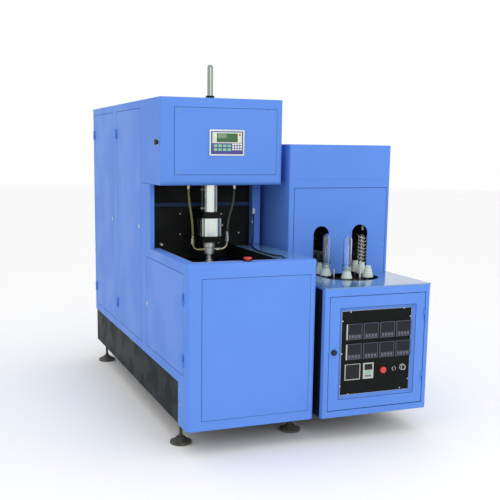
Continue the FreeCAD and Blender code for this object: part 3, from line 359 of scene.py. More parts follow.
# base, shade, scratches a metre along x, y and z, their depth in microns, roughness
brushedLooks = dict(
    tubeSteel=((0.30, 0.33, 0.30), (0.22, 0.24, 0.22), (900, 900, 10), 10, (0.2, 0.32)),
    nozzleSteel=((0.82, 0.85, 0.80), (0.68, 0.71, 0.66), (40, 40, 1200), 10, (0.34, 0.46)),
    dullSteel=((0.36, 0.39, 0.40), (0.26, 0.28, 0.29), (500, 500, 500), 10, (0.35, 0.5)),
    anodised=((0.72, 0.78, 0.74), (0.60, 0.66, 0.63), (1400, 1400, 14), 20, (0.12, 0.22)),
    brightSteel=((0.62, 0.64, 0.63), (0.50, 0.52, 0.51), (700, 700, 700), 10, (0.22, 0.34)),
    groundBar=((0.58, 0.60, 0.59), (0.46, 0.48, 0.47), (1200, 20, 1200), 10, (0.16, 0.28)),
    chrome=((0.74, 0.77, 0.76), (0.62, 0.65, 0.64), (30, 30, 900), 4, (0.08, 0.16)),
    brass=((0.56, 0.53, 0.34), (0.42, 0.39, 0.24), (500, 500, 500), 10, (0.24, 0.38)),
    milled=((0.38, 0.40, 0.40), (0.28, 0.30, 0.31), (30, 900, 900), 20, (0.3, 0.45)),
    silverFrame=((0.50, 0.54, 0.53), (0.42, 0.46, 0.45), (20, 900, 900), 10, (0.3, 0.42)),
    reflector=((0.50, 0.50, 0.46), (0.34, 0.33, 0.29), (500, 9, 500), 30, (0.28, 0.45), 9.0, 0.8),
)
clearLooks = dict(
    clearPet=dict(colour=(0.86, 0.94, 1.0), ior=1.57, rough=(0.02, 0.05), fade=0.96),
    quartz=dict(colour=(0.97, 0.97, 0.95), ior=1.46, rough=(0.02, 0.05), fade=0.96),
)
braidLooks = dict(
    leftBraid=dict(strand=(0.30, 0.29, 0.10), gap=(0.030, 0.032, 0.014), turns=6, rows=44, fade=0.6),
    rightBraid=dict(strand=(0.105, 0.105, 0.078), gap=(0.014, 0.015, 0.012), turns=6, rows=42, fade=0.6),
)


def addClear(name, colour, ior, rough, fade):
    # clear all through, with a faint second tone and soft waves
    tree, shader = startMaterial(name, {"IOR": ior, "Transmission Weight": 1.0})
    tone = toneOf(tree, colour, [fade * c for c in colour], 30.0, 0.6)
    fine = useGroup(tree, grainGroup, {"Scale": 60.0, "Depth": 0.00004})
    endMaterial(tree, shader, tone["Color"], fine["Normal"], tone["Patches"], rough)


def addBraid(name, strand, gap, turns, rows, fade):
    # two families of crossing strands round the hose, from its own map
    tree, shader = startMaterial(name, {})
    spot = addNode(tree, "ShaderNodeSeparateXYZ", {0: coordinates(tree, "UV")}).outputs
    around = math2(tree, "MULTIPLY", spot[0], turns * 2 * math.pi)
    along = math2(tree, "MULTIPLY", spot[1], rows * 2 * math.pi)
    waves = [math2(tree, "SINE", math2(tree, way, around, along)) for way in ("ADD", "SUBTRACT")]
    share = mapRange(tree, math2(tree, "MAXIMUM", *waves), (0.1, 0.7))
    tone = toneOf(tree, strand, [fade * c for c in strand], 30.0, 0.7)
    endMaterial(tree, shader, mixColours(tree, share, (*gap, 1), tone["Color"]), bumpOf(tree, share, 0.0005, 0.8),
                share, (0.55, 0.4))


for name, row in grainyLooks.items():
    addGrainy(name, *row)
for name, row in brushedLooks.items():
    addBrushed(name, *row)
for name, row in clearLooks.items():
    addClear(name, **row)
for name, row in braidLooks.items():
    addBraid(name, **row)
print("materials", len(looks))


# ---------- mesh helpers
def boxInto(shape, x, y, z, edge=0.0):
    low, high = at(x[0], y[0], z[0]), at(x[1], y[1], z[1])
    size = Matrix.Diagonal((high - low).to_4d())
    size[3][3] = 1
    made = bmesh.ops.create_cube(shape, size=1, matrix=Matrix.Translation((low + high) / 2) @ size)
    if edge:
        edges = list(dict.fromkeys(e for v in made["verts"] for e in v.link_edges))
        bmesh.ops.bevel(shape, geom=edges, offset=edge / 1000, segments=2, profile=0.5, affect="EDGES",
                        clamp_overlap=True)


def latheInto(shape, foot, axis, profile, around=48, flutes=0, fluteDepth=0.0, fluted=()):
    # profile is (radius, height along the axis); radius 0 closes an end
    turn = Vector((0, 0, 1)).rotation_difference(Vector(axis)).to_matrix()
    rings = []
    for index, (radius, height) in enumerate(profile):
        if radius == 0:
            rings.append([shape.verts.new(foot + turn @ Vector((0, 0, height / 1000)))])
            continue
        ring = []
        for k in range(around):
            a = 2 * math.pi * k / around
            r = radius - (fluteDepth * (0.5 + 0.5 * math.cos(flutes * a)) if index in fluted else 0)
            ring.append(shape.verts.new(foot + turn @ Vector((r * math.cos(a), r * math.sin(a), height)) / 1000))
        rings.append(ring)
    for lower, upper in zip(rings, rings[1:]):
        for k in range(around):
            n = (k + 1) % around
            if len(lower) == 1 and len(upper) > 1:
                shape.faces.new((lower[0], upper[n], upper[k]))
            elif len(upper) == 1 and len(lower) > 1:
                shape.faces.new((lower[k], lower[n], upper[0]))
            elif len(lower) > 1:
                shape.faces.new((lower[k], lower[n], upper[n], upper[k]))


def prismInto(shape, outline, z):
    # between two heights, from an outline of (x, y)
    lower = [shape.verts.new(at(x, y, z[0])) for x, y in outline]
    upper = [shape.verts.new(at(x, y, z[1])) for x, y in outline]
    shape.faces.new(lower[::-1])
    shape.faces.new(upper)
    for k in range(len(outline)):
        n = (k + 1) % len(outline)
        shape.faces.new((lower[k], lower[n], upper[n], upper[k]))


def tubeInto(shape, points, radius, sides=16):
    # a round tube along points in metres, with a map round and along it
    mapLayer = shape.loops.layers.uv.verify()
    whole = sum((b - a).length for a, b in zip(points, points[1:]))
    normal = Vector((0, 1, 0))
    rings, lengths, run = [], [], 0.0
    for k, point in enumerate(points):
        way = (points[min(k + 1, len(points) - 1)] - points[max(k - 1, 0)]).normalized()
        normal = (normal - way * normal.dot(way)).normalized()
        other = way.cross(normal)
        rings.append([shape.verts.new(point + (normal * math.cos(2 * math.pi * i / sides)
                                               + other * math.sin(2 * math.pi * i / sides)) * radius / 1000)
                      for i in range(sides)])
        if k:
            run += (point - points[k - 1]).length
        lengths.append(run / whole)
    for k in range(len(rings) - 1):
        for i in range(sides):
            n = (i + 1) % sides
            face = shape.faces.new((rings[k][i], rings[k][n], rings[k + 1][n], rings[k + 1][i]))
            corners = ((i, k), (i + 1, k), (i + 1, k + 1), (i, k + 1))
            for loop, (u, v) in zip(face.loops, corners):
                loop[mapLayer].uv = (u / sides, lengths[v])
    shape.faces.new(rings[0][::-1])
    shape.faces.new(rings[-1])


def meshOf(shape, name):
    bmesh.ops.recalc_face_normals(shape, faces=shape.faces)
    mesh = bpy.data.meshes.new(name)
    shape.to_mesh(mesh)
    shape.free()
    return mesh


def showMesh(mesh, name, look, smooth):
    # smooth is the angle in degrees over which an edge stays sharp
    mesh.name = name
    mesh.materials.clear()
    mesh.materials.append(looks[look])
    mesh.polygons.foreach_set("use_smooth", [True] * len(mesh.polygons))
    mesh.set_sharp_from_angle(angle=math.radians(smooth))
    piece = bpy.data.objects.new(name, mesh)
    bpy.context.scene.collection.objects.link(piece)
    return piece


def finishMesh(mesh, name, body, look, slot, replaces=None, smooth=35, edge=0.0):
    piece = showMesh(mesh, name, look, smooth)
    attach(piece, body)
    if replaces:
        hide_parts(replaces)
    if edge:
        bevel = piece.modifiers.new("edges", "BEVEL")
        bevel.width = edge / 1000
        bevel.segments = 2


def addPiece(name, look, slot, parts, body="machine", **more):
    # each part is one of the helpers above and what it is given
    shape = bmesh.new()
    for makePart, *sizes in parts:
        makePart(shape, *sizes)
    finishMesh(meshOf(shape, name), name, body, look, slot, **more)


# ---------- geometry trees for what repeats
def startTree(name, inputs):
    wanted = [("Geometry", "Geometry", None)] + inputs + [("Finish", "Material", None)]
    return startGroup(name, "GeometryNodeTree", wanted, [("Geometry", "Geometry")])


def endTree(tree, given, result, instance, rotation=None):
    placed = addNode(tree, "GeometryNodeInstanceOnPoints", {"Points": given["Geometry"], "Instance": instance})
    if rotation is not None:
        tree.links.new(rotation, placed.inputs["Rotation"])
    real = addNode(tree, "GeometryNodeRealizeInstances", {"Geometry": placed.outputs[0]})
    coated = addNode(tree, "GeometryNodeSetMaterial", {"Geometry": real.outputs[0], "Material": given["Finish"]})
    tree.links.new(coated.outputs[0], result["Geometry"])
    return tree


def vectorOf(tree, x=0.0, y=0.0, z=0.0):
    return addNode(tree, "ShaderNodeCombineXYZ", {0: x, 1: y, 2: z}).outputs[0]


def scaled(tree, value, share):
    return math2(tree, "MULTIPLY", value, share)


def changed(tree, geometry, change, value):
    return addNode(tree, "GeometryNodeTransform", {"Geometry": geometry, change: value}).outputs[0]


def raised(tree, geometry, height):
    return changed(tree, geometry, "Translation", vectorOf(tree, z=height))


def joined(tree, parts):
    node = addNode(tree, "GeometryNodeJoinGeometry")
    for part in parts:
        tree.links.new(part, node.inputs[0])
    return node.outputs[0]


def solidOf(tree, kind, **values):
    # a mesh primitive; underscores in the input names stand for blanks
    return addNode(tree, "GeometryNodeMesh" + kind,
                   {key.replace("_", " "): value for key, value in values.items()}).outputs[0]


headInputs = [("Radius", "Float", 0.005), ("Height", "Float", 0.004), ("Facing", "Vector", (0.0, 0.0, 0.0))]
uprightTurn = (math.pi / 2, 0.0, 0.0)


def makeScrewTree():
    # a low dome with a cross recess
    tree, given, result = startTree("crossScrew", headInputs)
    radius, height = given["Radius"], given["Height"]
    ball = solidOf(tree, "UVSphere", Segments=20, Rings=12, Radius=1.0)
    dome = changed(tree, ball, "Scale", vectorOf(tree, radius, radius, height))
    bars = []
    for x, y in ((1.1, 0.26), (0.26, 1.1)):
        size = vectorOf(tree, scaled(tree, radius, x), scaled(tree, radius, y), height)
        bars.append(raised(tree, solidOf(tree, "Cube", Size=size), height))
    head = addNode(tree, "GeometryNodeMeshBoolean", {"Mesh 1": dome, "Mesh 2": joined(tree, bars)},
                   operation="DIFFERENCE")
    return endTree(tree, given, result, head.outputs[0], given["Facing"])


def makeBoltTree():
    # a hexagon head on a washer
    tree, given, result = startTree("hexBolt", headInputs)
    radius, height = given["Radius"], given["Height"]
    washer = solidOf(tree, "Cylinder", Vertices=20, Radius=radius, Depth=scaled(tree, height, 0.3))
    hexagon = solidOf(tree, "Cylinder", Vertices=6, Radius=scaled(tree, radius, 0.82),
                      Depth=scaled(tree, height, 0.7))
    crown = solidOf(tree, "Cone", Vertices=20, Radius_Top=scaled(tree, radius, 0.45),
                    Radius_Bottom=scaled(tree, radius, 0.7), Depth=scaled(tree, height, 0.12))
    stack = joined(tree, [raised(tree, part, scaled(tree, height, level))
                          for part, level in ((washer, 0.15), (hexagon, 0.6), (crown, 0.94))])
    return endTree(tree, given, result, stack, given["Facing"])


def makeKeyTree():
    # a grid of keys round every point, in the upright plane that faces the front
    tree, given, result = startTree("keyGrid", [
        ("Columns", "Int", 4), ("Rows", "Int", 2), ("Spread X", "Float", 0.05), ("Spread Z", "Float", 0.02),
        ("Width", "Float", 0.01), ("Height", "Float", 0.008), ("Depth", "Float", 0.001)])
    grid = solidOf(tree, "Grid", Size_X=given["Spread X"], Size_Y=given["Spread Z"], Vertices_X=given["Columns"],
                   Vertices_Y=given["Rows"])
    key = solidOf(tree, "Cube", Size=vectorOf(tree, given["Width"], given["Height"], given["Depth"]))
    keys = addNode(tree, "GeometryNodeInstanceOnPoints", {"Points": grid, "Instance": key})
    return endTree(tree, given, result, changed(tree, keys.outputs[0], "Rotation", uprightTurn))


def makeLinkTree():
    # one pair of chain plates, turned by each point's own angle
    tree, given, result = startTree("chainPlates", [
        ("Pitch", "Float", 0.01905), ("Radius", "Float", 0.0072), ("Thickness", "Float", 0.0012),
        ("Level", "Float", 0.0078)])
    disc = solidOf(tree, "Cylinder", Vertices=12, Radius=given["Radius"], Depth=given["Thickness"])
    discs = [changed(tree, disc, "Translation", vectorOf(tree, scaled(tree, given["Pitch"], side)))
             for side in (-0.5, 0.5)]
    plate = addNode(tree, "GeometryNodeConvexHull", {"Geometry": joined(tree, discs)}).outputs[0]
    both = joined(tree, [raised(tree, plate, scaled(tree, given["Level"], side)) for side in (-1.0, 1.0)])
    angle = addNode(tree, "GeometryNodeInputNamedAttribute", {"Name": "turn"}, data_type="FLOAT")
    return endTree(tree, given, result, both, vectorOf(tree, z=angle.outputs[0]))


def makePinTree():
    # an upright pin with a tapered tip
    tree, given, result = startTree("uprightPin", [("Radius", "Float", 0.006), ("Height", "Float", 0.06),
                                                   ("Tip", "Float", 0.004)])
    radius, height = given["Radius"], given["Height"]
    body = solidOf(tree, "Cylinder", Vertices=16, Radius=radius, Depth=height)
    tip = solidOf(tree, "Cone", Vertices=16, Radius_Top=scaled(tree, radius, 0.55), Radius_Bottom=radius,
                  Depth=given["Tip"])
    stack = joined(tree, [raised(tree, body, scaled(tree, height, 0.5)), raised(tree, tip, height)])
    return endTree(tree, given, result, stack)


def makeClipTree():
    # a sprung wire clip, an open ring that faces the front
    tree, given, result = startTree("wireClip", [("Ring", "Float", 0.009), ("Wire", "Float", 0.0016),
                                                 ("Stretch", "Float", 2.2), ("Sweep", "Float", 4.6)])
    arc = addNode(tree, "GeometryNodeCurveArc", {"Resolution": 18, "Radius": given["Ring"], "Start Angle": 2.5,
                                                 "Sweep Angle": given["Sweep"]}).outputs[0]
    oval = changed(tree, arc, "Scale", vectorOf(tree, given["Stretch"], 1.0, 1.0))
    wireRound = addNode(tree, "GeometryNodeCurvePrimitiveCircle", {"Resolution": 8, "Radius": given["Wire"]})
    wire = addNode(tree, "GeometryNodeCurveToMesh", {
        "Curve": oval, "Profile Curve": wireRound.outputs[0], "Fill Caps": True}).outputs[0]
    return endTree(tree, given, result, changed(tree, wire, "Rotation", uprightTurn))


screwTree = makeScrewTree()
boltTree = makeBoltTree()
keyTree = makeKeyTree()
linkTree = makeLinkTree()
pinTree = makePinTree()
clipTree = makeClipTree()


def growMesh(tree, points, lengths, look, others=None, turns=None):
    # the tree run once on loose points, as a plain mesh; lengths in millimetres, others as they are
    sizes = dict({key: value / 1000 for key, value in lengths.items()}, **(others or {}), Finish=looks[look])
    seedMesh = bpy.data.meshes.new("seed")
    seedMesh.from_pydata([tuple(p) for p in points], [], [])
    if turns:
        seedMesh.attributes.new("turn", "FLOAT", "POINT").data.foreach_set("value", turns)
    seed = bpy.data.objects.new("seed", seedMesh)
    bpy.context.scene.collection.objects.link(seed)
    modifier = seed.modifiers.new("grow", "NODES")
    modifier.node_group = tree
    for item in tree.interface.items_tree:
        if item.in_out == "INPUT" and item.name in sizes:
            modifier[item.identifier] = sizes[item.name]
    mesh = bpy.data.meshes.new_from_object(seed.evaluated_get(bpy.context.evaluated_depsgraph_get()))
    bpy.data.objects.remove(seed)
    return mesh


def addScrews(name, places, radius, height, body="machine", facing=uprightTurn, tree=screwTree, look="dullSteel",
              replaces=None):
    sizes = {"Radius": radius, "Height": height}
    mesh = growMesh(tree, [at(*p) for p in places], sizes, look, {"Facing": facing})
    finishMesh(mesh, name, body, look, "bright_steel", replaces, smooth=40)


def addKeys(name, body, slot, look, points, grid, spread, size, edge):
    # grid is columns and rows, size is width, height and depth
    lengths = {"Spread X": spread[0], "Spread Z": spread[1], "Width": size[0], "Height": size[1], "Depth": size[2]}
    mesh = growMesh(keyTree, points, lengths, look, {"Columns": grid[0], "Rows": grid[1]})
    finishMesh(mesh, name, body, look, slot, edge=edge)


# ---------- cords first
hoseDiameter = 13.0
hoses = dict(
    air_hose_left=dict(look="leftBraid", length=0.297, points=[
        (225, 690, 1318), (225, 690, 1294), (231, 690, 1218), (248, 690, 1122), (252, 690, 1046),
        (252, 690, 1022)]),
    air_hose_right=dict(look="rightBraid", length=0.289, points=[
        (500, 690, 1318), (500, 690, 1294), (495, 690, 1218), (467, 690, 1133), (458, 690, 1057),
        (458, 690, 1033)]),
)
cable = dict(diameter=8.0, length=0.868, points=[
    (657, 779, 1145), (657, 779, 1095), (655, 775, 1040), (650, 765, 996), (634, 734, 975), (606, 672, 974.5),
    (578, 592, 974.5), (552, 500, 974.5), (536, 400, 974.5), (531, 300, 974.5), (537, 220, 974.5),
    (546, 168, 975), (553, 132, 979), (556, 108, 977), (556, 99, 959), (556, 98, 941)])


def makeLine(name, points, bevel=0.0):
    curve = bpy.data.curves.new(name, "CURVE")
    curve.dimensions = "3D"
    curve.resolution_u = 10
    curve.bevel_depth = bevel
    curve.bevel_resolution = 5
    curve.use_fill_caps = True
    spline = curve.splines.new("NURBS")
    spline.points.add(len(points) - 1)
    for spot, point in zip(spline.points, points):
        spot.co = (*at(*point), 1)
    spline.order_u = 3
    spline.use_endpoint_u = True
    line = bpy.data.objects.new(name, curve)
    bpy.context.scene.collection.objects.link(line)
    return line


def followLine(points):
    # the points along a hose's own smooth line
    line = makeLine("line", points)
    bpy.context.view_layer.update()
    mesh = bpy.data.meshes.new_from_object(line.evaluated_get(bpy.context.evaluated_depsgraph_get()))
    path = [vertex.co.copy() for vertex in mesh.vertices]
    bpy.data.objects.remove(line)
    return path


def addHoses():
    for name, route in hoses.items():
        path = followLine(route["points"])
        shape = bmesh.new()
        tubeInto(shape, path, hoseDiameter / 2, sides=24)
        hose = showMesh(meshOf(shape, name), "braided_" + name, route["look"], 50)
        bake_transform(hose)
        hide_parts(name)


def addCable():
    line = makeLine("sensor_lead", cable["points"], cable["diameter"] / 2000)
    line.data.materials.append(looks["cableSheath"])
    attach(line, "machine")
    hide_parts("sensor_cable")


addHoses()
addCable()
print("cords")

# ---------- finishes of the sheet metal and the other carried over solids
nodeLooks = dict(
    bluePaint=["left_side_frames", "cabinet_panels", "head_hood", "front_frame", "oven_housing",
               "oven_front_panel"],
    framePaint=["cabinet_frame"],
    doorPaint=["head_panel", "front_panel", "control_door", "rear_door", "middle_door", "lower_door"],
    deckPaint=["deck_strip", "heater_deck"],
    heaterPaint=["heater_body"],
    blackPaint=["base_frame"],
    guardPaint=["inner_guard"],
    panelBlack=["instrument_panel"],
    footRubber=["levelling_feet"],
    groundBar=["tie_bars"],
    chrome=["stretch_rod"],
    brightSteel=["rear_door_lock", "middle_door_lock", "lower_door_lock"],
    brass=["nozzle_fittings", "air_inlet"],
    darkSteel=["mould_bed", "front_platen", "rear_platen", "clamp_cylinder", "front_sprocket", "rear_sprocket",
               "drive_motor"],
    milled=["front_mould", "rear_mould"],
    silverFrame=["hmi_case"],
    blackPlastic=["door_knob"],
    whiteNylon=["preform_holder_a", "preform_holder_b", "oven_holders"],
    quartz=["lamp_tubes"],
    reflector=["lamp_rack"],
)
nodeEdges = {
    "base_frame": 1.5, "mould_bed": 1.5, "front_mould": 1.0, "rear_mould": 1.0, "hmi_case": 1.2,
    "front_panel": 0.8, "head_panel": 0.8, "deck_strip": 0.8, "inner_guard": 0.8, "rear_door": 0.9,
    "middle_door": 0.9, "lower_door": 0.9, "instrument_panel": 0.6, "oven_holders": 1.0,
    "preform_holder_a": 1.0, "preform_holder_b": 1.0, "levelling_feet": 1.2,
}


def makeShadeTree():
    # smooth faces, with edges over the angle kept sharp
    tree, given, result = startGroup("smoothSheet", "GeometryNodeTree",
                                     [("Geometry", "Geometry", None), ("Angle", "Float", math.radians(32))],
                                     [("Geometry", "Geometry")])
    faces = addNode(tree, "GeometryNodeSetShadeSmooth", {"Geometry": given["Geometry"], "Shade Smooth": True})
    angle = addNode(tree, "GeometryNodeInputMeshEdgeAngle")
    sharp = addNode(tree, "FunctionNodeCompare", {0: angle.outputs[0], 1: given["Angle"]},
                    data_type="FLOAT", operation="GREATER_THAN")
    edges = addNode(tree, "GeometryNodeSetShadeSmooth", {
        "Geometry": faces.outputs[0], "Selection": sharp.outputs[0], "Shade Smooth": False}, domain="EDGE")
    tree.links.new(edges.outputs[0], result["Geometry"])
    return tree


shadeTree = makeShadeTree()


def finishNode(name, look):
    node = frame["nodes"][name]
    node.data.materials.clear()
    node.data.materials.append(looks[look])
    weld = node.modifiers.new("weld", "WELD")
    weld.merge_threshold = 0.00002
    if name in nodeEdges:
        bevel = node.modifiers.new("edges", "BEVEL")
        bevel.width = nodeEdges[name] / 1000
        bevel.segments = 2
        bevel.limit_method = "ANGLE"
        bevel.angle_limit = math.radians(50)
    node.modifiers.new("shade", "NODES").node_group = shadeTree
    if name in nodeEdges:
        node.modifiers.new("flat", "WEIGHTED_NORMAL").keep_sharp = True


for look, names in nodeLooks.items():
    for name in names:
        finishNode(name, look)
print("finishes", sum(len(names) for names in nodeLooks.values()))


# ---------- blow station
axisX, axisY = 350.0, 690.0  # the centre line of both cylinders
stretchBarrel = dict(side=81.0, corner=38.5, z=(1170.0, 1745.0), rodReach=31.5, rodRadius=4.2)
sealBarrel = dict(side=127.0, corner=55.0, z=(1034.0, 1135.0), rodReach=49.5, rodRadius=6.0)
sealCap = dict(side=111.0, corner=8.0, z=(999.0, 1034.0), step=1.5, boltReach=41)
rodGap = 0.4  # between a tie rod's end and its barrel's end
flange = dict(level=998, reach=28, start=0.4)  # six bolts
hexagon = dict(chamfer=1, narrow=0.93, start=0.3)


def roundSquare(side, corner):
    # an outline about the centre line, 13 points to each round corner
    middle, outline = side / 2 - corner, []
    for quarter in range(4):
        turn = quarter * math.pi / 2
        for k in range(13):
            a = -math.pi / 2 + k * math.pi / 24
            x, y = middle + corner * math.cos(a), corner * math.sin(a) - middle
            outline.append((axisX + x * math.cos(turn) - y * math.sin(turn),
                            axisY + x * math.sin(turn) + y * math.cos(turn)))
    return outline


def barrelPart(barrel):
    return prismInto, roundSquare(barrel["side"], barrel["corner"]), barrel["z"]


def tieRods(barrel):
    radius, reach, (low, high) = barrel["rodRadius"], barrel["rodReach"], barrel["z"]
    long = high - low - 2 * rodGap
    return [(latheInto, at(axisX + i * reach, axisY + j * reach, low + rodGap), upward,
             [(0, 0), (radius, 0), (radius, long), (0, long)], 24)
            for i, j in ((-1, -1), (1, -1), (-1, 1), (1, 1))]


def capParts():
    side, corner, step, (low, high) = sealCap["side"], sealCap["corner"], sealCap["step"], sealCap["z"]
    return [(prismInto, roundSquare(side, corner), (low + step, high)),
            (prismInto, roundSquare(side - 2 * step, corner), (low, low + step))]


def hexParts(x, z, radius):
    # a hexagon on end about (x, axisY), chamfered at both ends
    chamfer, start = hexagon["chamfer"], hexagon["start"]
    layers = (((z[0], z[0] + chamfer), hexagon["narrow"]), ((z[0] + chamfer, z[1] - chamfer), 1.0),
              ((z[1] - chamfer, z[1]), hexagon["narrow"]))
    return [(prismInto, [(x + radius * share * math.cos(k * math.pi / 3 + start),
                          axisY + radius * share * math.sin(k * math.pi / 3 + start)) for k in range(6)], span)
            for span, share in layers]


hoseNuts, sleeveDrop = ((33, 20, 11), (19, 3, 10.5)), 3  # below the hose's end: from, to and radius
sleeveProfile = [(6.6, 0), (8.6, 0), (9, 1), (9, 5), (8.2, 6), (8.2, 9), (9, 10), (9, 14), (8.2, 15), (8.2, 18),
                 (8.8, 19), (8.8, 23), (7.2, 25), (6.6, 25), (6.6, 0)]
elbowProfile = [(6.2, 0), (10.4, 0), (11, 1), (11, 9), (9.5, 10), (9.5, 12), (10.4, 12), (11, 13), (11, 22),
                (10, 23.5), (6.2, 23.5), (6.2, 0)]
unionProfile = [(6.6, 0), (9, 0), (9, 20), (8, 22), (6.6, 22), (6.6, 0)]
portProfile = [(0, -1), (7, -1), (7, 3), (5.6, 3.6), (5.6, 9), (6.6, 9.6), (6.6, 15), (5, 16), (0, 16)]
fittings = dict(
    left=dict(x=252, low=1022, side=-1, look="brass", top=225),
    right=dict(x=458, low=1033, side=1, look="nozzleSteel", top=500),
)
elbow = dict(reach=40, level=956)
topUnion = dict(z=(1319, 1333), radius=12)
ports = [dict(x=axisX + side * half, level=level, way=(side, 0, 0))
         for side, half, level in ((-1, 40.5, 1296), (-1, 40.5, 1190), (1, 63.5, 1092))]
# one entry for each piece, with profiles of (radius, height along the axis)
blowStation = dict(
    stretch_barrel=dict(look="anodised", slot="anodised", replaces="stretch_cylinder",
                        parts=[barrelPart(stretchBarrel)]),
    barrel_tie_rods=dict(look="tubeSteel", slot="anodised",
                         parts=tieRods(stretchBarrel) + tieRods(sealBarrel)),
    guard_tube=dict(look="tubeSteel", slot="anodised", parts=[
        (latheInto, at(axisX, axisY, 1745), upward,
         [(0, 0), (16, 0), (16, 219), (15.2, 225), (12.5, 230), (8, 233.5), (0, 235)], 40)]),
    roof_collar=dict(look="guardPaint", slot="black_paint", parts=[
        (latheInto, at(axisX, axisY, 1787), upward,
         [(17, 0), (30, 0), (30, 6), (27, 8), (24, 9), (24, 22), (22.5, 25), (17, 25), (17, 0)])]),
    seal_barrel=dict(look="anodised", slot="anodised", replaces="seal_cylinder",
                     parts=[barrelPart(sealBarrel)]),
    seal_cap=dict(look="guardPaint", slot="black_paint", parts=capParts()),
    blow_head_body=dict(body="blow_head", look="nozzleSteel", slot="chrome", replaces="blow_nozzle", smooth=30,
                        parts=[
        (latheInto, at(axisX, axisY, 884), upward,
         [(6.2, 0), (21.5, 0), (23, 1.5), (23, 10), (21, 12), (15, 13.5), (15, 42), (27, 44), (30, 47), (30, 61),
          (29, 62), (29, 64), (30, 65), (30, 81), (28, 83), (28, 84.5), (33.5, 84.5), (35, 86), (35, 104),
          (34, 105), (34, 107), (35, 108), (35, 112.5), (33.5, 114), (20, 114), (20, 234), (49, 234), (49, 248),
          (6.2, 248), (6.2, 0)], 56)]),
    cylinder_ports=dict(look="dullSteel", slot="chrome", parts=[
        (latheInto, at(port["x"], axisY - 8, port["level"]), port["way"], portProfile, 24) for port in ports]),
    white_fitting=dict(look="whitePlastic", slot="white_plastic", parts=[
        (latheInto, at(111, 848, 972), toFront,
         [(0, -1), (8, -1), (8, 3), (6, 4), (6, 9), (7.4, 10), (7.4, 15), (6, 17), (3.6, 18), (0, 18.4)], 32)]),
    sensor_plug=dict(look="whitePlastic", slot="white_plastic", replaces="sensor_connector", parts=[
        (boxInto, (650, 664), (773, 785), (1149, 1177), 1.6),
        (boxInto, (651.5, 662.5), (771.8, 774), (1156, 1172), 0.5),
        (latheInto, at(657, 779, 1150), downward,
         [(0, 0), (5.6, 0), (5.6, 1.4), (5, 2), (5.6, 2.6), (5.6, 4), (5, 4.6), (5, 5), (0, 5)], 28)]),
    plug_strain_relief=dict(look="cableSheath", slot="cable_sheath", parts=[
        (latheInto, at(657, 779, 1145), downward,
         [(4.1, 0), (6.2, 0), (6.2, 5), (5.6, 6), (5.9, 8), (5.2, 10), (5.5, 13), (4.8, 15), (5.0, 19), (4.3, 24),
          (4.1, 24), (4.1, 0)], 28)]),
    cable_grommet=dict(look="cableSheath", slot="cable_sheath", parts=[
        (latheInto, at(556, 103, 968), upward,
         [(7.4, 0), (7.4, 2), (11, 2), (12, 3), (11.5, 4.4), (9.5, 5), (7.0, 4.4), (6.6, 3), (6.6, 0), (7.4, 0)],
         32)]),
    cable_clip=dict(look="whitePlastic", slot="white_plastic", parts=[
        (boxInto, (648, 655), (781.6, 785), (1092, 1104), 0.6),
        (boxInto, (651, 663), (783.5, 785), (1094, 1102), 0.4)]),
    # the table's sheet edge round the well, bright as a painted highlight for the light that edge catches
    well_edge_highlight=dict(look="silverFrame", slot="bright_steel", parts=[
        (boxInto, (55, 58.6), (76, 836), (967.5, 970.5), 0.4),
        (boxInto, (55, 520), (73, 76.8), (967.5, 970.5), 0.4)]),
)


def addFittings():
    # the two nuts, the ribbed sleeve and the elbow's collar at each hose's foot, and the union at its top
    for name, fitting in fittings.items():
        x, low, top, side = fitting["x"], fitting["low"], fitting["top"], fitting["side"]
        addPiece(name + "_hose_nuts", fitting["look"], "brass", [
            *[part for drop, rise, radius in hoseNuts for part in hexParts(x, (low - drop, low - rise), radius)],
            (latheInto, at(x, axisY, low - sleeveDrop), upward, sleeveProfile, 28),
            (latheInto, at(axisX + side * elbow["reach"], axisY, elbow["level"]), (side, 0, 0), elbowProfile, 6)],
            "blow_head")
        addPiece(name + "_top_union", fitting["look"], "brass", [
            *hexParts(top, topUnion["z"], topUnion["radius"]),
            (latheInto, at(top, axisY, topUnion["z"][0]), downward, unionProfile, 28)])


for name, piece in blowStation.items():
    addPiece(name, **piece)
addFittings()
print("blow station")

# ---------- buttons on the cabinet
stopX, stopY = 334, 50
sideButton = at(0, 515, 1554)
buttons = dict(
    stop_button_cap=dict(body="emergency_button", look="redPlastic", slot="red_plastic",
                         replaces="emergency_button",
                         parts=[(latheInto, at(stopX, stopY, 940), upward,
                                 [(0, 0), (8, 0), (8, 37), (14, 37.2), (14, 39.5), (17, 41), (20.2, 42),
                                  (21, 43.5), (21, 46.5), (20, 48.8), (17, 50.6), (12, 51.6), (6, 52), (0, 52)],
                                 60, 12, 1.0, (7, 8))]),
    stop_button_collar=dict(look="blackPlastic", slot="black_plastic", parts=[
        (latheInto, at(stopX, stopY, 970), upward,
         [(14.8, 0), (23, 0), (23, 1.2), (21.5, 2.4), (16, 2.6), (14.8, 2.2), (14.8, 0)])]),
    side_button_cap=dict(body="side_button", look="blackPlastic", slot="black_plastic", replaces="side_button",
                         parts=[
        (latheInto, sideButton, toLeft,
         [(0, -24), (11, -24), (11, 6), (13.5, 6), (14.5, 7), (14.5, 15), (13.6, 16.4), (12, 17), (11, 16.4),
          (10, 15.6), (6, 15.2), (0, 15)])]),
    side_button_ring=dict(look="silverFrame", slot="chrome", parts=[
        (latheInto, sideButton, toLeft,
         [(11.6, 0), (17.5, 0), (17.5, 0.9), (16.4, 1.6), (12.2, 1.6), (11.6, 1.2), (11.6, 0)])]),
)
for name, piece in buttons.items():
    addPiece(name, **piece)

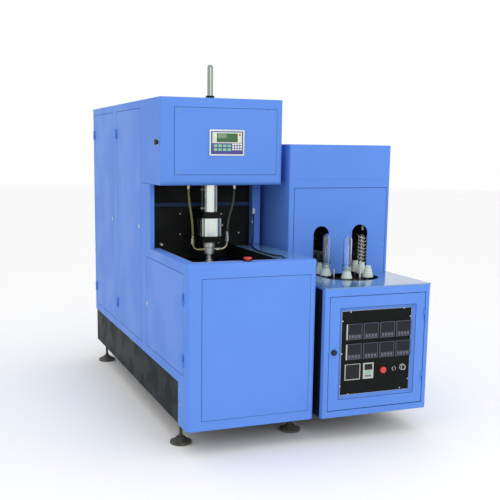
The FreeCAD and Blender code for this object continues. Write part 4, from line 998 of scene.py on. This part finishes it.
# ---------- screws
screws = dict(
    head_panel_screws=dict(radius=5, height=2.4, replaces="cover_screws", places=[
        (101, 463, 1720), (627, 463, 1722), (101, 463, 1398), (638, 463, 1398)]),
    oven_panel_screws=dict(radius=4.5, height=2.4, places=[(782, 447, 981), (1338, 447, 979)]),
    bulkhead_bolts=dict(radius=5, height=4, tree=boltTree, places=[
        (225, 848, 1147), (225, 848, 1029), (479, 848, 1143), (590, 848, 1029)]),
    toe_screws=dict(radius=4, height=2, look="brightSteel", facing=(0.0, -math.pi / 2, 0.0), places=[
        (0, 117, z) for z in (160, 240, 320)]),
    instrument_screws=dict(radius=4.2, height=2.2, look="brightSteel", body="control_door", places=[
        (x, 0.6, z) for x, z in ((900, 687), (1221, 690), (853, 640), (852, 465), (847.5, 289), (897, 242),
                                 (1213, 249), (1262, 643), (1261.5, 470), (1261, 296))]),
    seal_cap_bolts=dict(radius=8, height=6, tree=boltTree, facing=(math.pi, 0.0, 0.0), places=[
        (axisX + i * sealCap["boltReach"], axisY + j * sealCap["boltReach"], sealCap["z"][0])
        for i in (-1, 1) for j in (-1, 1)]),
    flange_bolts=dict(radius=4.6, height=5, tree=boltTree, look="brightSteel", body="blow_head",
                      facing=(0.0, 0.0, 0.0), places=[
                          (axisX + flange["reach"] * math.cos(a), axisY + flange["reach"] * math.sin(a),
                           flange["level"])
                          for a in [k * math.pi / 3 + flange["start"] for k in range(6)]]),
)
for name, row in screws.items():
    addScrews(name, **row)

# ---------- seams, as thin dark strips that stand a little proud of a face, painted shade for the gaps between panels
seam = dict(width=1.8, proud=1.2, sunk=0.2, edge=0.3)
ovenFace, ovenSeams, ovenLow, ovenTop = 447, (765, 1352), 822, 1310


def stripPart(x, z, face):
    return boxInto, x, (face - seam["proud"], face + seam["sunk"]), z, seam["edge"]


def seamRing(x, z, face):
    w = seam["width"]
    return [stripPart((x[0] - w, x[0]), (z[0] - w, z[1] + w), face),
            stripPart((x[1], x[1] + w), (z[0] - w, z[1] + w), face),
            stripPart(x, (z[0] - w, z[0]), face), stripPart(x, (z[1], z[1] + w), face)]


headFace, frontFace, recessFace, trimFace = 465, 0, -17.0, 0.6
seams = dict(
    panel_seams=dict(look="seamShade", slot="black_plastic", parts=[
        *seamRing((78, 658), (1385, 1735), headFace), *seamRing((78, 660), (179, 895), frontFace),
        *[stripPart((x - seam["width"] / 2, x + seam["width"] / 2), (ovenLow, ovenTop + 1), ovenFace)
          for x in ovenSeams],
        stripPart(ovenSeams, (ovenTop, ovenTop + seam["width"]), ovenFace)]),
    # the folded lip of the door's recess, dark as painted shade along the recess's edge, and the bright trim round
    # the panel in it
    recess_lip=dict(body="control_door", look="seamShade", slot="black_plastic",
                    parts=seamRing((830, 1283), (224, 712), recessFace)),
    panel_trim=dict(body="control_door", look="silverFrame", slot="bright_steel",
                    parts=seamRing((848, 1266), (241, 692), trimFace)),
)
for name, piece in seams.items():
    addPiece(name, **piece)
print("buttons, screws and seams")

# ---------- keypad and display on the head
keypadFace = 457.0
glassX, glassZ, glassRim = (312, 424), (1561, 1600), 3
lightFoot = keypadFace - 0.7


def platePart(x, z, thick, edge=0.2):
    return boxInto, x, (keypadFace - thick, keypadFace + 0.2), z, edge


keypad = dict(
    keypad_film=dict(look="filmIndigo", parts=[platePart((276, 459), (1494, 1615), 0.5)]),
    display_field=dict(look="filmCream", parts=[platePart((284, 452), (1552, 1609), 0.8)]),
    display_frame=dict(look="blackPlastic", parts=[
        platePart((glassX[0] - glassRim, glassX[1] + glassRim), (glassZ[1], glassZ[1] + glassRim), 2.0, 0.4),
        platePart((glassX[0] - glassRim, glassX[1] + glassRim), (glassZ[0] - glassRim, glassZ[0]), 2.0, 0.4),
        platePart((glassX[0] - glassRim, glassX[0]), glassZ, 2.0, 0.4),
        platePart((glassX[1], glassX[1] + glassRim), glassZ, 2.0, 0.4)]),
    display_glass=dict(look="displayGlass", parts=[platePart(glassX, glassZ, 1.2)]),
    status_lights=dict(look="filmGreen", parts=[
        (latheInto, at(291, lightFoot, z), toFront, [(0, 0), (2.4, 0), (2.2, 0.8), (1.2, 1.3), (0, 1.5)], 16)
        for z in (1598, 1588, 1578, 1568)]),
    alarm_light=dict(look="redPlastic", parts=[
        (latheInto, at(440, lightFoot, 1597), toFront, [(0, 0), (5.6, 0), (5.4, 1), (3.4, 2.2), (0, 2.6)], 24)]),
)
for name, piece in keypad.items():
    addPiece(name, slot="keypad", **piece)
keypadKeys = dict(
    keypad_keys_green=dict(look="filmGreen", points=[at(341, lightFoot, 1528)], grid=(4, 2), spread=(78, 20),
                           size=(20, 14, 1.6)),
    keypad_keys_white=dict(look="filmWhite", points=[at(425, lightFoot, 1533)], grid=(4, 3), spread=(45, 26),
                           size=(11, 9, 1.6)),
)
for name, row in keypadKeys.items():
    addKeys(name, "machine", "keypad", edge=0.5, **row)
print("keypad")

# ---------- instrument panel on the control door
panelFace = 0.6
meter = dict(columns=(876, 975, 1074, 1173), rows=(538, 430), width=92.0, height=86.0, deep=58.0,
             frame=dict(sides=6, top=4, bottom=7), rim=5, barLow=25, barHigh=28, barProud=5.6,
             glassLow=27, glassTop=3.5, glassProud=4.4, keyLow=6, keyHigh=26, keyProud=4.0)
timer = dict(x=(871, 963), z=(320, 406))
timerPane = dict(x=(877, 958), z=(326, 402), proud=5.0)
timerRim = dict(sides=4, top=2.4, bottom=4)
speedUnit = dict(x=(981, 1043), z=(320, 406))
speedPane = dict(x=(989, 1035), z=(368, 399), proud=5.6)
speedField = dict(x=(987, 1037), z=(326, 367), proud=5.0, edge=0.4)
speedRim = dict(sides=7, top=6, bottom=7)


def proudPart(x, z, proud, edge=0.0):
    return boxInto, x, (panelFace - proud, panelFace), z, edge


def bodyPart(x, z):
    # the case of a unit, behind the panel
    return boxInto, (x[0] + 4, x[1] - 4), (panelFace - 0.5, panelFace + meter["deep"]), (z[0] + 4, z[1] - 4), 1.0


def frameParts(x, z, sides, top, bottom, proud=7, edge=0.8):
    inner = (x[0] + sides - 0.5, x[1] - sides + 0.5)
    bars = (((x[0], x[0] + sides), z), ((x[1] - sides, x[1]), z), (inner, (z[1] - top, z[1])),
            (inner, (z[0], z[0] + bottom)))
    return [proudPart(*bar, proud, edge) for bar in bars]


def addMeters():
    # makes the units and gives back where the regulators' keys go
    frames, glasses, bodies, keySpots = [], [], [], []
    for low in meter["rows"]:
        for left in meter["columns"]:
            x, z = (left, left + meter["width"]), (low, low + meter["height"])
            inner = (x[0] + meter["rim"], x[1] - meter["rim"])
            bar = (low + meter["barLow"], low + meter["barHigh"])
            frames += [*frameParts(x, z, **meter["frame"]), proudPart(inner, bar, meter["barProud"], 0.6)]
            pane = (low + meter["glassLow"], z[1] - meter["glassTop"])
            glasses.append(proudPart(inner, pane, meter["glassProud"]))
            bodies += [(boxInto, inner, (panelFace - meter["keyProud"], panelFace + 1),
                        (low + meter["keyLow"], low + meter["keyHigh"])), bodyPart(x, z)]
            keySpots.append(at((x[0] + x[1]) / 2 + 2, panelFace - meter["keyProud"] - 0.6,
                               low + (meter["keyLow"] + meter["keyHigh"]) / 2))
    bodies += [bodyPart(**timer), bodyPart(**speedUnit)]
    glasses += [proudPart(**timerPane), proudPart(**speedPane)]
    # pale left cheeks of the two rows, a painted highlight for their lit sides, and the pale timer's frame and
    # speed unit's face
    first = meter["columns"][0]
    paleAndLit = [proudPart((first - 1.5, first + 5), (low + 1, low + meter["height"] - 1), 7.2, 0.6)
            for low in meter["rows"]]
    paleAndLit += frameParts(**timer, **timerRim) + frameParts(**speedUnit, **speedRim) + [proudPart(**speedField)]
    for name, look, parts, replaces in (
            ("meter_frames", "meterGrey", frames, "panel_meters"), ("meter_glasses", "meterGlass", glasses, None),
            ("meter_bodies", "blackPlastic", bodies, None), ("pale_frames_and_lit_cheeks", "paleFrameAndHighlight", paleAndLit, None)):
        addPiece(name, look, "meter_plastic", parts, "control_door", replaces=replaces)
    return keySpots


panelKeys = dict(
    meter_keys=dict(look="meterKeyGrey", points=addMeters(), grid=(4, 1), spread=(56, 0), size=(13, 15, 2.4)),
    speed_keys_green=dict(look="filmGreen", points=[at(1012, panelFace - 5.6, 354)], grid=(3, 2), spread=(26, 10),
                          size=(10, 7, 2.4)),
    speed_keys_white=dict(look="meterKeyGrey", points=[at(1012, panelFace - 5.6, 335)], grid=(3, 1),
                          spread=(26, 0), size=(10, 9, 2.4)),
)
for name, row in panelKeys.items():
    addKeys(name, "control_door", "meter_plastic", edge=0.6, **row)

keyX, keyZ = 1167, 363
knobX, knobZ = 1221, 367
doorKnobX, doorKnobZ = 795, 481
panelControls = dict(
    panel_button_cap=dict(body="panel_button", look="redPlastic", slot="red_plastic", replaces="panel_button",
                          parts=[
        (latheInto, at(1099, panelFace, 362), toFront,
         [(0, -22), (8, -22), (8, 6), (17, 6), (18, 7), (18, 15.5), (17, 17.4), (15, 18), (13, 17.4), (10, 16.6),
          (0, 16.2)])]),
    key_switch_barrel=dict(body="key_switch", look="chrome", slot="chrome", replaces="key_switch", parts=[
        (latheInto, at(keyX, panelFace, keyZ), toFront,
         [(0, -22), (8, -22), (8, 0.5), (13, 0.5), (13, 8.5), (12, 10), (10.5, 10), (10, 9), (0, 9)], 40)]),
    key_switch_bar=dict(body="key_switch", look="blackPlastic", slot="black_plastic", parts=[
        (boxInto, (keyX - 3, keyX + 3), (panelFace - 20, panelFace - 8.5), (keyZ - 11, keyZ + 11), 1.2)]),
    speed_knob_cap=dict(body="speed_knob", look="chrome", slot="chrome", replaces="speed_knob", smooth=25, parts=[
        (latheInto, at(knobX, panelFace, knobZ), toFront,
         [(0, -22), (8, -22), (8, 0.5), (16, 0.5), (17, 1.5), (17, 5), (16, 6), (15.5, 14), (14.6, 16), (12.6, 16),
          (12, 15.2), (0, 15)], 96, 24, 0.8, (6, 7))]),
    speed_knob_disc=dict(body="speed_knob", look="blackPlastic", slot="black_plastic", parts=[
        (latheInto, at(knobX, panelFace - 15, knobZ), toFront, [(0, 0), (11.6, 0), (11.6, 0.5), (0, 0.5)], 40),
        (boxInto, (knobX - 0.9, knobX + 0.9), (panelFace - 16, panelFace - 15.2), (knobZ + 3, knobZ + 11), 0.2)]),
    door_knob_face=dict(body="door_knob", look="meterGrey", slot="black_plastic", parts=[
        (latheInto, at(doorKnobX, -29.4, doorKnobZ), toBack,
         [(0, 0.4), (9, 0.4), (9.6, 0), (11, 0), (11, 0.8), (0, 0.8)], 40),
        (boxInto, (doorKnobX - 1.4, doorKnobX + 1.4), (-29.6, -28.8), (doorKnobZ - 8, doorKnobZ + 8), 0.3)]),
)
for name, piece in panelControls.items():
    addPiece(name, **piece)
print("instrument panel")

# ---------- chain, preforms and lamps
chain = dict(pitch=19.056, count=136, radius=121.4, level=790.0, first=-100.0, every=4)
plate = dict(radius=7.4, thickness=1.2, outer=7.9, inner=6.6)
chainPins = dict(
    chain_rollers=dict(slot="dark_steel", drop=-8.8, every=1, lengths={"Radius": 5.8, "Height": 17.2, "Tip": 0.6}),
    carrier_pins=dict(slot="bright_steel", drop=6.2, every=chain["every"],
                      lengths={"Radius": 5.9, "Height": 69, "Tip": 3.8}),
)


def onChain(s):
    # the place in metres at a distance along the chain, front wheel first
    front, back = jointAt["front_sprocket_spin"], jointAt["rear_sprocket_spin"]
    radius = chain["radius"] / 1000
    straight, arc = back.y - front.y, math.pi * radius
    s = (s / 1000) % (2 * straight + 2 * arc)
    if s < arc:
        a = s / radius
        return front.x - radius * math.cos(a), front.y - radius * math.sin(a)
    s -= arc
    if s < straight:
        return front.x + radius, front.y + s
    s -= straight
    if s < arc:
        a = s / radius
        return back.x + radius * math.cos(a), back.y + radius * math.sin(a)
    return back.x - radius, back.y - (s - arc)


def addChain():
    joints = [Vector((*onChain(chain["first"] + chain["pitch"] * k), chain["level"] / 1000))
              for k in range(chain["count"])]
    for name, first, replaces in (("outer", 0, "carrier_chain"), ("inner", 1, None)):
        pairs = [(joints[k], joints[(k + 1) % len(joints)]) for k in range(first, len(joints), 2)]
        lengths = {"Pitch": chain["pitch"], "Radius": plate["radius"], "Thickness": plate["thickness"],
                   "Level": plate[name]}
        mesh = growMesh(linkTree, [(a + b) / 2 for a, b in pairs], lengths, "darkSteel",
                        turns=[math.atan2(b.y - a.y, b.x - a.x) for a, b in pairs])
        finishMesh(mesh, "chain_" + name + "_links", "machine", "darkSteel", "dark_steel", replaces)
    for name, pin in chainPins.items():
        feet = [joint + Vector((0, 0, pin["drop"] / 1000)) for joint in joints[::pin["every"]]]
        finishMesh(growMesh(pinTree, feet, pin["lengths"], "brightSteel"), name, "machine", "brightSteel",
                   pin["slot"])


preform = dict(
    mouth=866.0, dome=1036.0, outer=24.0, inner=20.5, arcSteps=8,
    # (from the outer radius, above the mouth): the lip, one thread, and the collar
    lip=[(-2.2, 0), (-1.8, 2)], threads=(4, 9, 14), thread=[(-1.8, 0), (-0.4, 1.2), (-0.4, 2), (-1.8, 3.4)],
    collar=[(-1.8, 24), (3.6, 26), (4, 26.6), (4, 29.2), (3.4, 30), (-0.6, 31), (0, 36)])


def addPreforms():
    mouth, dome, outer, inner = preform["mouth"], preform["dome"], preform["outer"], preform["inner"]
    arc = [math.pi / 2 * k / preform["arcSteps"] for k in range(1, preform["arcSteps"] + 1)]
    neck = preform["lip"] + [(r, h + ring) for ring in preform["threads"] for r, h in preform["thread"]]
    profile = [(0, dome + inner)] + [(inner * math.sin(a), dome + inner * math.cos(a)) for a in arc]
    profile += [(inner, mouth + 1), (inner + 0.8, mouth)]
    profile += [(outer + r, mouth + h) for r, h in neck + preform["collar"]] + [(outer, dome)]
    profile += [(outer * math.cos(a), dome + outer * math.sin(a)) for a in arc[:-1]] + [(0, dome + outer)]
    for letter in "ab":
        low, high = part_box("preform_" + letter)
        foot = Vector(((low.x + high.x) / 2, (low.y + high.y) / 2, 0))
        addPiece("clear_preform_" + letter, "clearPet", "clear_pet", [(latheInto, foot, upward, profile, 56)],
                 "holder_" + letter, replaces="preform_" + letter, smooth=45)


lampRow = dict(x=1262.0, front=590.0, back=1240.0, low=882.0, pitch=20.4, count=8, cap=26,
               capProfile=[(0, 0), (7.6, 0), (8, 1), (8, 9), (6.5, 10), (6.5, 14), (7.4, 15), (7.4, 21), (4, 23),
                           (0, 23)],
               clipX=1232.0, clipYs=(474, 508), coils=41, coilPitch=15.5, coilStart=604.0,
               coilProfile=[(0, 0), (1.5, 0.4), (1.5, 9.6), (0, 10)])


def addLampEnds():
    levels = [lampRow["low"] + lampRow["pitch"] * k for k in range(lampRow["count"])]
    addPiece("lamp_end_caps", "ceramic", "white_plastic", [
        (latheInto, at(lampRow["x"], y + lampRow["cap"] * way, level), (0, way, 0), lampRow["capProfile"], 24)
        for level in levels for y, way in ((lampRow["front"], -1), (lampRow["back"], 1))])
    clips = [at(lampRow["clipX"], y, level) for level in levels for y in lampRow["clipYs"]]
    finishMesh(growMesh(clipTree, clips, {"Ring": 8.4, "Wire": 2.4}, "whitePlastic",
                        {"Stretch": 2.3, "Sweep": 4.4}), "lamp_clips", "machine", "whitePlastic", "white_plastic")
    addPiece("lamp_filaments", "ceramic", "quartz", [
        (latheInto, at(lampRow["x"], lampRow["coilStart"] + lampRow["coilPitch"] * k, level), toBack,
         lampRow["coilProfile"], 8) for level in levels for k in range(lampRow["coils"])])
    addPiece("upper_reflector", "reflector", "reflector",
             [(boxInto, (1216, 1240), (478, 482), (1064, 1300), 0.6)])


addChain()
addPreforms()
addLampEnds()
print("heater")


# ---------- floor
def addFloor():
    shape = bmesh.new()
    bmesh.ops.create_circle(shape, cap_ends=True, segments=96, radius=30)
    mesh = bpy.data.meshes.new("floor")
    shape.to_mesh(mesh)
    shape.free()
    mesh.materials.append(looks["paleFloor"])
    floor = bpy.data.objects.new("floor", mesh)
    bpy.context.scene.collection.objects.link(floor)


addFloor()
bpy.context.view_layer.update()
